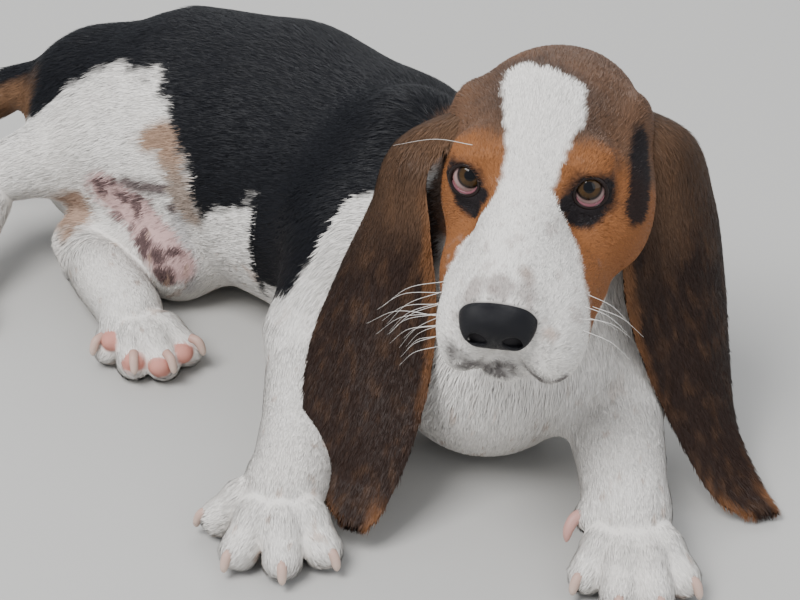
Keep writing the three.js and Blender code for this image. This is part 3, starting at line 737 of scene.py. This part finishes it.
def head_colour(q, p):
    """Colour at points given in the head's frame (q) and the model's (p)."""
    f, l, u = q.T
    ragged = 1.6 * noise(p, 6) + 1.2 * noise(p, 2.4)
    colour = np.tile(array(*BROWN), (len(q), 1))
    dark = np.clip(0.5 + 0.8 * noise(p, 14), 0, 1) * step(-f + 20, 30)
    colour = mix(colour, HEAD_DARK, dark * 0.55)
    side = np.abs(l)
    tan = step(f - 47 + 0.46 * side + 0.3 * np.maximum(-u, 0) + 2 * ragged, 12)
    colour = mix(colour, TAN, tan)
    temple = 1 - step(limb((8, 46, 12), (40, 48, -5), 6.5, 8)(q) + ragged * 0.7, 3)
    right_temple = limb((18, -45, 8), (40, -43, -12), 1.5, 2)(q) + ragged * 0.5
    temple = np.maximum(temple, 1 - step(right_temple, 2.5))
    colour = mix(colour, BLACK, temple * 0.94)
    blaze = np.minimum(table(BLAZE_LEFT, f) - l, l - table(BLAZE_RIGHT, f))
    blaze = np.minimum(blaze, f + 20) + ragged
    beside = step(blaze + 9 + 4 * noise(p, 7), 10) * step(34 - f, 14)
    colour = mix(colour, BLAZE_SHADE, beside * 0.6)
    low = -40 - u - np.maximum(40 - f, 0) * 0.25 + ragged
    white = np.maximum(step(blaze, 3), step(low, 5))
    colour = mix(colour, WHITE, white)
    freckle = step(noise(p + 17, 3.4) - 0.52, 0.2) * step(f - 66, 12) * step(u + 26, 6)
    colour = mix(colour, FRECKLES, freckle * 0.35)
    for centre, radius, tint, amount in MUZZLE_SPOTS:
        d = np.linalg.norm(q - array(*centre), axis=1) + ragged
        colour = mix(colour, tint, (1 - step(d - radius, 5)) * amount)
    lips = np.full(len(q), 99.0)
    tint = np.full(len(q), 99.0)
    close = (f > 35) & (u < -25) & (np.abs(head_local(q)) < 5)
    if close.any():
        lips[close] = to_line(q[close], lip_line)
        tint[close] = to_run(q[close], MOUTH_TINT)
    lip_tint = (1 - step(lips - 2.1 + 0.5 * ragged, 2)) * 0.9 * step(u + 51, 4)
    colour = mix(colour, LIP_DARK, lip_tint)
    mottle = (1 - step(tint - 3.8 + ragged, 5)) * step(noise(p + 5, 2.2) + 0.5, 0.6)
    colour = mix(colour, LIP_MOTTLE, mottle * 0.88)
    for centre, basis in EYES.values():
        e = (q - centre) @ basis
        inner = -1 if centre[1] > 0 else 1
        ring = np.hypot(e[:, 1] / 11.6, (e[:, 2] + 0.4) / 10.6)
        black = 1 - step(ring - 1.04 + 0.08 * ragged, 0.4)
        below = np.hypot((e[:, 1] - 3.5 * inner) / 9.5, (e[:, 2] + 8.5) / 6.5)
        black = np.maximum(black, 1 - step(below - 1 + 0.1 * ragged, 0.35))
        corner = np.hypot((e[:, 1] - 9 * inner) / 6, (e[:, 2] + 2.5) / 4)
        black = np.maximum(black, 1 - step(corner - 1 + 0.1 * ragged, 0.35))
        black = black * (e[:, 0] > 0) * (np.linalg.norm(e, axis=1) < 21)
        colour = mix(colour, EYE_RING, black)
    leather = 1 + nose_edge(q)
    return mix(colour, LEATHER_EDGE, (1 - step(leather - 1.0, 0.10)) * (f > 106))


def ear_colour(p, where):
    s, t, face = where.T
    streak = noise(p * array(1, 1, 0.25), 3)
    colour = np.tile(array(*EAR_TOP), (len(p), 1))
    colour = mix(colour, EAR_DARK, step(s - 0.24 + 0.12 * noise(p, 18), 0.3))
    colour = mix(colour, EAR_STREAK, np.clip(streak, 0, 1) * 0.5)
    edge = step(s - 0.86 + 0.03 * streak, 0.1) * step(np.abs(t - 0.5) - 0.33, 0.2)
    front = step(0.045 - t + 0.03 * streak, 0.06) * step(0.60 - s, 0.15) * step(s - 0.22, 0.12) * 0.7
    colour = mix(colour, EAR_EDGE, np.maximum(edge * 0.8, front))
    under = (face < 0) * (0.7 - 0.5 * step(s - 0.5, 0.2))
    return mix(colour, EAR_UNDER, under)


def coat_colour(p, n):
    """The markings of the whole dog, apart from its ears, with painted shade along the right ear's root.
    """
    q = to_head(p)
    head_share = step(6 - head_local(q) + 3 * (q[:, 0] > 0), 8)
    head_share *= step(q[:, 0] + 66 - 0.2 * (q[:, 2] + 20), 10) * step(q[:, 2] + 64, 6)
    colour = body_colour(p)
    tail_share = step(-p[:, 0] - 202, 10) * step(p[:, 1] - 64, 8)
    tails = tail_share > 0
    if tails.any():
        colour[tails] = mix(colour[tails], tail_colour(p[tails], n[tails]), tail_share[tails])
    heads = head_share > 0
    colour[heads] = mix(colour[heads], head_colour(q[heads], p[heads]), head_share[heads])
    return np.clip(colour, 0, 1)


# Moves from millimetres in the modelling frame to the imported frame
eye_low, eye_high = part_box("eye_left")
eye_middle = np.array((eye_low + eye_high) / 2) * 1000
SHIFT = eye_middle - from_head(EYES["left"][0])
SHIFT[2] = 0


def placed(p):
    return (np.asarray(p) + SHIFT) / 1000


# Meshes and materials
def mesh_object(name, points, faces, colours=None, normals=None, uv=None):
    """faces is an array of one face size, or a list of such arrays."""
    groups = faces if isinstance(faces, list) else [faces]
    mesh = bpy.data.meshes.new(name)
    loops = np.concatenate([g.ravel() for g in groups]).astype(np.int32)
    sizes = np.concatenate([np.full(len(g), g.shape[1]) for g in groups]).astype(np.int32)
    mesh.vertices.add(len(points))
    mesh.vertices.foreach_set("co", placed(points).astype(np.float32).ravel())
    mesh.loops.add(len(loops))
    mesh.loops.foreach_set("vertex_index", loops)
    mesh.polygons.add(len(sizes))
    starts = np.concatenate([[0], np.cumsum(sizes)[:-1]])
    mesh.polygons.foreach_set("loop_start", starts.astype(np.int32))
    mesh.polygons.foreach_set("use_smooth", np.full(len(sizes), True))
    mesh.update(calc_edges=True)
    if colours is not None:
        # The coat's markings, with painted shade along the right ear's root and at the fur's roots, and
        # painted highlights at the fur's tips
        layer = mesh.color_attributes.new("MarkingsAndPaintedShade", "FLOAT_COLOR", "POINT")
        rgba = np.column_stack([colours, np.ones(len(colours))]).astype(np.float32)
        layer.data.foreach_set("color", rgba.ravel())
    if normals is not None:
        layer = mesh.attributes.new("Lie", "FLOAT_VECTOR", "POINT")
        layer.data.foreach_set("vector", np.asarray(normals, np.float32).ravel())
    if uv is not None:
        layer = mesh.uv_layers.new(name="OFBake")
        layer.data.foreach_set("uv", np.asarray(uv, np.float32)[loops].ravel())
    made = bpy.data.objects.new(name, mesh)
    bpy.context.scene.collection.objects.link(made)
    return made


def material(name, base=None, roughness=0.6):
    made = bpy.data.materials.new(name)
    made.use_nodes = True
    shader = made.node_tree.nodes["Principled BSDF"]
    shader.inputs["Roughness"].default_value = roughness
    if base is not None:
        shader.inputs["Base Color"].default_value = (*base, 1)
    return made, made.node_tree.nodes, made.node_tree.links, shader


def roughen(nodes, links, shader, kind, height, scale, strength, distance):
    """Relief from a texture node, which is returned."""
    grain = nodes.new(kind)
    grain.inputs["Scale"].default_value = scale
    relief = nodes.new("ShaderNodeBump")
    relief.inputs["Strength"].default_value = strength
    relief.inputs["Distance"].default_value = distance
    links.new(grain.outputs[height], relief.inputs["Height"])
    links.new(relief.outputs["Normal"], shader.inputs["Normal"])
    return grain


def markings_and_shade_material(name, roughness, lie=False, bump=0.0):
    """A material coloured by the mesh's markings and painted shade. With lie, its normal comes from the
    mesh too.
    """
    made, nodes, links, shader = material(name, roughness=roughness)
    colour = nodes.new("ShaderNodeAttribute")
    colour.attribute_name = "MarkingsAndPaintedShade"
    links.new(colour.outputs["Color"], shader.inputs["Base Color"])
    shader.inputs["Specular IOR Level"].default_value = 0.18
    if lie:
        normal = nodes.new("ShaderNodeAttribute")
        normal.attribute_name = "Lie"
        links.new(normal.outputs["Vector"], shader.inputs["Normal"])
    if bump:
        grain = roughen(nodes, links, shader, "ShaderNodeTexNoise", "Fac", 900, bump, 0.0006)
        grain.inputs["Detail"].default_value = 3
    return made


skin_material = markings_and_shade_material("skin coat", 0.65, bump=0.5)
fur_material = markings_and_shade_material("fur", 0.5, lie=True)
wet_material = markings_and_shade_material("wet rims", 0.18)
claw_material = markings_and_shade_material("claws", 0.35)

skin_points, skin_quads = surface(skin_field, (-376, -300, -12), (180, 170, 226), CELL)
skin_normals = unit(gradient(skin_field, skin_points))
skin_colours = coat_colour(skin_points, skin_normals)
ear_parts = {}
for side, (out, rows) in EARS.items():
    points, quads, where = ear_shell(out, rows)
    ear_parts[side] = (points, quads, quad_normals(points, quads), ear_colour(points, where), where)

# One skin for the flesh: the body and the two ears in one mesh
all_points, all_quads, all_colours = [skin_points], [skin_quads], [skin_colours]
offset = len(skin_points)
for points, quads, _, colours, _ in ear_parts.values():
    all_points.append(points)
    all_quads.append(quads + offset)
    all_colours.append(colours)
    offset += len(points)
skin = mesh_object(
    "skin", np.concatenate(all_points), np.concatenate(all_quads), np.concatenate(all_colours)
)
skin.data.materials.append(skin_material)
flesh = [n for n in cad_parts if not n.startswith("eye") and "claw" not in n]
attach(skin, "root")
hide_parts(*flesh)


# Fur: which way it lies and how long it is
HEAD_RUNS = [
    ((125, 0, -10), (30, 0, 10), 24), ((30, 0, 10), (-50, 0, 0), 40),
    ((100, 26, -30), (20, 34, -35), 14), ((100, -26, -30), (20, -34, -35), 14),
]


def lie_of(p, n):
    """The way the hair points: from the nose back over the body, and down each leg and the tail."""
    total = np.zeros_like(p)

    def add(a, b, radius, extra=(0, 0, 0)):
        a, b = np.asarray(a, float), np.asarray(b, float)
        along = b - a
        t = np.clip((p - a) @ along / (along @ along), 0, 1)
        d = np.linalg.norm(p - a - t[:, None] * along, axis=1) / radius
        total[:] += (unit(along) + array(*extra)) / (0.05 + d[:, None] ** 6)

    for a, b, radius in HEAD_RUNS:
        add(from_head(a), from_head(b), radius, (0, 0, -0.15))
    add((62, -104, 150), (30, -70, 110), 50, (0, 0.2, -0.3))
    add((60, -150, 110), (50, -150, 20), 46)
    for a, b in zip(SPINE, SPINE[1:]):
        add(a[:3], b[:3], a[3], (0, 0, -0.35))
    for a, b in zip(TAIL, TAIL[1:]):
        add(a[:3], b[:3], 16)
    for leg in LEGS.values():
        for a, b, ra, _ in leg["upper"]:
            add(a, b, ra * 0.8, (0, 0.1, -0.2))
        for a, b in zip(leg["lower"], leg["lower"][1:]):
            add(a[:3], b[:3], a[3])
        for tip in leg["toes"]:
            add(leg["palm"], tip, 12)
    flat = total - (total * n).sum(1)[:, None] * n
    return unit(flat)


def hair_length(p):
    q = to_head(p)
    on_head = step(14 - head_local(q), 14)
    face = step(q[:, 0] - 30, 40)
    length = np.full(len(p), BODY_HAIR)
    length += 2.5 * step(30 - np.abs(p[:, 0] - 45), 30) * step(-p[:, 1] - 130, 20)
    thigh = step(-p[:, 0] - 150, 40)
    length += thigh
    feet = np.min([np.linalg.norm(p - array(*leg["palm"]), axis=1) for leg in LEGS.values()], axis=0)
    length = length + (FOOT_HAIR - length) * step(52 - feet, 26)
    low = step(52 - p[:, 2], 30) * step(-p[:, 1] - 60, 40)
    length = length + (FORELEG_HAIR - length) * low * 0.8
    return length + (HEAD_HAIR - (HEAD_HAIR - FACE_HAIR) * face - length) * on_head


def spread(points, quads, count, weight=None):
    """Even random places on a mesh, as the quad's index and weights of its corners."""
    a, b, c, d = (points[quads[:, i]] for i in range(4))
    area = np.linalg.norm(np.cross(c - a, d - b), axis=1) / 2
    if weight is not None:
        area = area * weight
    total = np.cumsum(area)
    pick = np.searchsorted(total, rng.random(count) * total[-1])
    pick = np.minimum(pick, len(quads) - 1)
    r, s = rng.random((2, count))
    corner = np.stack([(1 - r) * (1 - s), r * (1 - s), r * s, (1 - r) * s], 1)
    return pick, corner


def mixed(values, quads, pick, corner):
    return (values[quads[pick]] * corner[..., None]).sum(1)


def unwrap(p, n):
    """Six flat charts, one for each way that the skin can face."""
    axis = np.argmax(np.abs(n), axis=1)
    positive = n[np.arange(len(n)), axis] > 0
    first = np.where(axis == 0, p[:, 1], p[:, 0]) + 90
    second = np.where(axis == 2, p[:, 1], p[:, 2] - 100) + 30
    return np.column_stack([
        (axis + np.clip(first / 620 + 0.5, 0.01, 0.99)) / 3,
        (positive + np.clip(second / 620 + 0.5, 0.01, 0.99)) / 2,
    ])


def tufts(name, root, n, lie, length, width, colour, slot):
    """One flat, tapering, three-triangle blade at each root, pressed along the body."""
    count = len(root)
    across = unit(np.cross(n, lie))
    sway = rng.normal(0, 0.12, count)[:, None]
    lie = unit(lie + sway * across)
    across = unit(np.cross(n, lie))
    rise = TUFT_LIFT * (0.6 + 0.8 * rng.random(count))
    length = length * (0.7 + 0.6 * rng.random(count))
    w = (width * (0.8 + 0.4 * rng.random(count)))[:, None] / 2
    base = root - 0.25 * n
    middle = base + (lie * (length * 0.5)[:, None]) + n * (0.35 + length * 0.5 * rise)[:, None]
    end = base + (lie * length[:, None]) + n * (0.3 + length * 0.75 * rise)[:, None]
    end[:, 2] = np.maximum(end[:, 2], 0.3)
    middle[:, 2] = np.maximum(middle[:, 2], 0.3)
    points = [base - across * w, base + across * w]
    points += [middle + across * w * 0.8, middle - across * w * 0.8, end]
    points = np.stack(points, 1).reshape(-1, 3)
    first = np.arange(count) * 5
    quads = np.stack([first, first + 1, first + 2, first + 3], 1)
    tips = np.stack([first + 3, first + 2, first + 4], 1)
    tone = (1 + rng.normal(0, 0.08, count))[:, None]
    # Painted shade darkens each blade towards its root and a painted highlight lightens its tip; the
    # tone also varies at random
    shade = np.stack([colour * k * tone for k in (0.84, 0.84, 1, 1, 1.08)], 1)
    normals = unit(n + 0.35 * across * rng.normal(0, 1, count)[:, None] - 0.12 * lie)
    spot = unwrap(root, n)
    corner = array((-1, -1), (1, -1), (1, 0), (-1, 0), (0, 1)) * TUFT_PATCH / 2
    uv = (spot[:, None] + corner[None]).reshape(-1, 2)
    shade = np.clip(shade.reshape(-1, 3), 0, 1)
    made = mesh_object(name, points, [quads, tips], shade, np.repeat(normals, 5, 0), uv)
    made.data.materials.append(fur_material)
    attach(made, "root")
    return made


def coat_body(count, pieces):
    centres = skin_points[skin_quads].mean(1)
    q = to_head(centres)
    bare = (centres[:, 2] < 0.9) | (to_pads(centres) < 6.8)
    bare |= (centres[:, 1] < -200) & (centres[:, 2] < 4)
    for centre, basis in EYES.values():
        e = (q - centre) @ basis
        bare |= (np.hypot(e[:, 1] / 9.6, (e[:, 2] + 0.6) / 8) < 1) & (e[:, 0] > 0)
    leather = nose_edge(q) < 0
    bare |= leather & (q[:, 0] > 106)
    bare |= (q[:, 0] > 40) & (q[:, 2] < -30) & (np.abs(head_local(q)) > 1.6) & (head_local(q) < 0)
    length = hair_length(centres)
    weight = np.where(bare, 0, 1.0 / np.clip(length / 5, 0.55, 1.6))
    pick, corner = spread(skin_points, skin_quads, count, weight)
    root = mixed(skin_points, skin_quads, pick, corner)
    n = unit(mixed(skin_normals, skin_quads, pick, corner))
    lie = lie_of(root, n)
    length = hair_length(root)
    width = 0.34 + 0.03 * length
    colour = coat_colour(root, n)
    pink = step(colour[:, 0] - colour[:, 1] - 0.17, 0.05) * (colour[:, 0] > 0.4)
    keep = rng.random(count) > pink * 0.85
    order = np.argsort(root[:, 0] + root[:, 1] * 0.2)
    order = order[keep[order]]
    for i, part in enumerate(np.array_split(order, pieces)):
        values = [value[part] for value in (root, n, lie, length, width, colour)]
        tufts(f"fur_body_{i + 1}", *values, "white_coat")


def coat_ear(side, count):
    points, quads, normals, colours, where = ear_parts[side]
    pick, corner = spread(points, quads, count)
    root = mixed(points, quads, pick, corner)
    n = unit(mixed(normals, quads, pick, corner))
    place = mixed(where, quads, pick, corner)
    down = unit(array(0, -0.35, -1)[None] + 0 * n)
    ahead = unit(points[-1] - points[0])
    lie = ahead - (n @ ahead)[:, None] * n + 0.2 * (down - (down * n).sum(1)[:, None] * n)
    colour = ear_colour(root, place)
    length, width = np.full(count, EAR_HAIR), np.full(count, 0.42)
    tufts(f"fur_ear_{side}", root, n, unit(lie), length, width, colour, "ear_coat")


coat_body(BODY_TUFTS, BODY_PIECES)
for side in EARS:
    coat_ear(side, EAR_TUFTS)


# Eyes, lids and haws
def tube(line, radius, sides=8):
    """A round tube along a line of points, with one radius or one for each point."""
    line = np.asarray(line, float)
    radius = np.broadcast_to(np.asarray(radius, float), len(line))
    along = unit(np.gradient(line, axis=0))
    side = unit(np.cross(along, array(0.3, 0.2, 1)))
    up = np.cross(along, side)
    a = np.arange(sides) / sides * 2 * math.pi
    ring = np.cos(a)[None, :, None] * side[:, None] + np.sin(a)[None, :, None] * up[:, None]
    points = (line[:, None] + ring * radius[:, None, None]).reshape(-1, 3)
    i, j = np.meshgrid(np.arange(len(line) - 1), np.arange(sides), indexing="ij")
    k = (j + 1) % sides
    quads = np.stack([i * sides + j, i * sides + k, (i + 1) * sides + k, (i + 1) * sides + j], -1)
    return points, quads.reshape(-1, 4)


def grouped(name, parts, colours, made_of, replaced=()):
    """Several tubes or shells in one object, each with its own colour."""
    points, quads, tints = [], [], []
    offset = 0
    for (p, f), c in zip(parts, colours):
        points.append(p)
        quads.append(f + offset)
        tints.append(np.broadcast_to(np.asarray(c, float), (len(p), 3)))
        offset += len(p)
    made = mesh_object(name, np.concatenate(points), np.concatenate(quads), np.concatenate(tints))
    made.data.materials.append(made_of)
    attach(made, "root")
    if replaced:
        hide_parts(*replaced)
    return made


def eyeball(side):
    centre, basis = EYES[side]
    rows, columns = 72, 96
    gaze = unit(to_head(array(*LOOKS_AT)[None])[0] - centre)
    gaze = unit(0.22 * basis[:, 0] + 0.78 * gaze)
    across = unit(np.cross([0, 0, 1], gaze))
    up = np.cross(gaze, across)
    angle = np.linspace(0, 1, rows) ** 1.3 * math.pi
    turn_by = np.arange(columns) / columns * 2 * math.pi
    a, b = np.meshgrid(angle, turn_by, indexing="ij")
    radius = (EYE_R - 0.15) * (1 + 0.035 * np.exp(-((a / 0.5) ** 2)))
    local = np.cos(a)[..., None] * gaze + np.sin(a)[..., None] * (
        np.cos(b)[..., None] * across + np.sin(b)[..., None] * up)
    points = from_head((centre + local * radius[..., None]).reshape(-1, 3))
    i, j = np.meshgrid(np.arange(rows - 1), np.arange(columns), indexing="ij")
    k = (j + 1) % columns
    quads = [i * columns + j, (i + 1) * columns + j, (i + 1) * columns + k, i * columns + k]
    quads = np.stack(quads, -1).reshape(-1, 4)
    a, b = a.ravel(), b.ravel()
    streak = 0.5 + 0.5 * np.sin(b * 37 + 2 * np.sin(b * 11)) * np.cos(b * 23)
    iris = array(*IRIS) * (0.55 + 0.7 * streak[:, None])
    colour = mix(iris, PUPIL, 1 - step(a - 0.28, 0.05))
    colour = mix(colour, IRIS_RIM, step(a - 0.54, 0.12))
    colour = mix(colour, EYE_WHITE, step(a - 0.70, 0.10))
    colour = mix(colour, EYE_BACK, step(a - 1.05, 0.3))
    return (points, quads), colour


eye_material = markings_and_shade_material("eye", 0.08)
eye_shader = eye_material.node_tree.nodes["Principled BSDF"]
eye_shader.inputs["Coat Weight"].default_value = 1.0
eye_shader.inputs["Coat Roughness"].default_value = 0.02
eye_shader.inputs["Coat IOR"].default_value = 1.33
eye_shader.inputs["Specular IOR Level"].default_value = 0.0
for side in EYES:
    ball, tint = eyeball(side)
    grouped(f"eyeball_{side}", [ball], [tint], eye_material, [f"eye_{side}"])

lid_parts, lid_tints = [], []
for side, (centre, basis) in EYES.items():
    a = np.linspace(0, 2 * math.pi, 61)
    drop = np.where(np.sin(a) > 0, LIDS_UP, LIDS_DOWN)
    rim = np.stack([np.ones_like(a), np.cos(a), drop * np.sin(a)], 1)
    lids = unit(rim) * (EYE_R + 0.85)
    lid_parts.append(tube(from_head(centre + lids @ basis.T), LID_RIM_R))
    lid_tints.append(LID_RIM)
    low = np.linspace(math.pi * 1.06, math.pi * 1.94, 31)
    haw = np.stack([np.ones_like(low), 0.84 * np.cos(low), 0.68 * np.sin(low)], 1)
    haw = unit(haw) * (EYE_R + 0.05)
    haw_radius = HAW_R * np.sin(np.linspace(0.25, math.pi - 0.25, 31))
    lid_parts.append(tube(from_head(centre + haw @ basis.T), haw_radius))
    lid_tints.append(HAW)
grouped("lids_and_haws", lid_parts, lid_tints, wet_material)


# Nose leather: a finer mesh over the skin's own, with comma-shaped nostrils
def nose_local(p):
    wings = both(egg((119, 9.5, -19), (7.5, 7.5, 7.5)))
    pad = blend(3, egg((113.2, 0, -15.5), (14.3, 17.5, 13.2)), wings)(p)
    pad = smooth_min(pad, head_local(p) + 0.1, 3)
    for side in (1, -1):
        mouth = egg((126, side * 7.6, -19.5), (8, 4.0, 3.5))(p)
        slit = limb((124, side * 9.5, -20.5), (115, side * 17.5, -22), 2.2, 1.3)(p)
        pad = -smooth_min(-pad, smooth_min(mouth, slit, 1.5), 1.6)
    cleft = limb((129, 0, -17), (122, 0, -31), 0.8, 1.3)(p)
    pad = -smooth_min(-pad, cleft, 1.6)
    return -smooth_min(-pad, -nose_edge(p) * 12, 1.5)


nose_points, nose_quads = surface(nose_local, (96, -22, -32), (132, 22, 2), NOSE_CELL)
keep = nose_points[nose_quads][:, :, 0].min(1) > 103
nose_made = material("nose leather", LEATHER, 0.32)
nose_made[3].inputs["Specular IOR Level"].default_value = 0.22
roughen(*nose_made[1:], "ShaderNodeTexVoronoi", "Distance", 950, 0.35, 0.0004)
nose = mesh_object("nose_leather", from_head(nose_points), nose_quads[keep])
nose.data.materials.append(nose_made[0])
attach(nose, "root")

# Claws and whiskers
CLAW_STEPS = 14
CLAW_SIDES = 10
claw_taper = np.sqrt(np.clip(1 - np.linspace(0, 1, CLAW_STEPS) ** 3 * 0.97, 0, 1))
claw_parts, claw_tints, claw_nodes = [], [], []
for name, leg in LEGS.items():
    palm = array(*leg["palm"])
    for i, tip in enumerate(leg["toes"]):
        tip = array(*tip)
        ahead = unit((tip - palm) * array(1, 1, 0))
        rise = array(0, 0, 5 if name == "hind_left" else 0)
        line = smooth_curve([
            tip + ahead * (TOE_R - 6) + array(0, 0, 3.5) + rise,
            tip + ahead * (TOE_R - 1.2) + array(0, 0, 2.6) + rise,
            tip + ahead * (TOE_R + 1.2) - array(0, 0, 1.6) + rise,
            tip + ahead * (TOE_R + 1.8) - array(0, 0, 5) + rise,
        ], CLAW_STEPS)
        claw_parts.append(tube(line, CLAW_R * claw_taper, CLAW_SIDES))
        shade = np.repeat(np.linspace(0, 1, CLAW_STEPS), CLAW_SIDES)[:, None]
        claw_tints.append(array(*CLAW_ROOT) * (1 - shade) + array(*CLAW_TIP) * shade)
        claw_nodes.append(f"{name}_claw_{i + 1}")
dew_line = [(88, -230, 30), (80.5, -233, 28.5), (77, -236.5, 24.5), (76, -239, 19)]
claw_parts.append(tube(smooth_curve(dew_line, CLAW_STEPS), DEWCLAW_R * claw_taper, CLAW_SIDES))
claw_tints.append(DEWCLAW)
claw_nodes.append("fore_left_dewclaw")
grouped("claws", claw_parts, claw_tints, claw_material, claw_nodes)

def whisker(line, radius):
    return tube(from_head(smooth_curve(line, 12)), radius * np.linspace(1, 0.3, 12), 4)


whisker_parts = []
for side, rows, columns in ((-1, 4, 4), (1, 2, 3)):
    for row in range(rows):
        for place in range(columns):
            start = on_skin((86 + 8 * place, side * 30, -22 - 6 * row))
            forward = 0.1 - 0.12 * place + 0.1 * rng.normal()
            out = array(forward, side, -0.25 - 0.14 * row + 0.12 * rng.normal())
            length = (24 + 16 * rng.random()) * (1 if side < 0 else 0.7)
            end = start + unit(out + array(-0.1, 0, -0.35)) * length
            whisker_parts.append(whisker([start, start + unit(out) * length * 0.5, end], 0.16))
brow = on_skin((44, -26, 24))
brow_line = [brow, brow + array(4, -16, 4), brow + array(2, -36, -3)]
whisker_parts.append(whisker(brow_line, 0.14))
whisker_tints = [WHISKER] * len(whisker_parts)
grouped("whiskers", whisker_parts, whisker_tints, claw_material)

# Floor, light and camera
bpy.ops.mesh.primitive_plane_add(size=12, location=(0, 0, 0))
ground = bpy.context.object
ground.name = "floor"
ground.data.materials.append(material("floor", FLOOR, 0.9)[0])


def area_light(name, place, power, size, target=(0.09, 0, 0.08)):
    data = bpy.data.lights.new(name, "AREA")
    data.energy = power
    data.size = size
    lamp = bpy.data.objects.new(name, data)
    lamp.location = place
    lamp.rotation_euler = (Vector(target) - Vector(place)).to_track_quat("-Z", "Y").to_euler()
    bpy.context.scene.collection.objects.link(lamp)


area_light("key", (-0.9, -0.9, 2.2), 78, 1.3)
area_light("fill", (1.6, -1.6, 1.2), 16, 1.8)
area_light("rim", (0.4, 1.8, 1.6), 22, 1.4)
world = bpy.data.worlds.new("studio")
world.use_nodes = True
world.node_tree.nodes["Background"].inputs["Color"].default_value = (0.80, 0.85, 0.92, 1)
world.node_tree.nodes["Background"].inputs["Strength"].default_value = 0.75
bpy.context.scene.world = world

pitch = math.radians(CAMERA_PITCH)
lens = bpy.data.cameras.new("camera")
lens.lens = CAMERA_LENS
lens.sensor_width = CAMERA_SENSOR
camera = bpy.data.objects.new("camera", lens)
camera.location = placed((0, -CAMERA_AWAY * math.cos(pitch), CAMERA_AWAY * math.sin(pitch)))
camera.rotation_euler = (math.radians(90) - pitch, 0, 0)
bpy.context.scene.collection.objects.link(camera)
bpy.context.scene.camera = camera
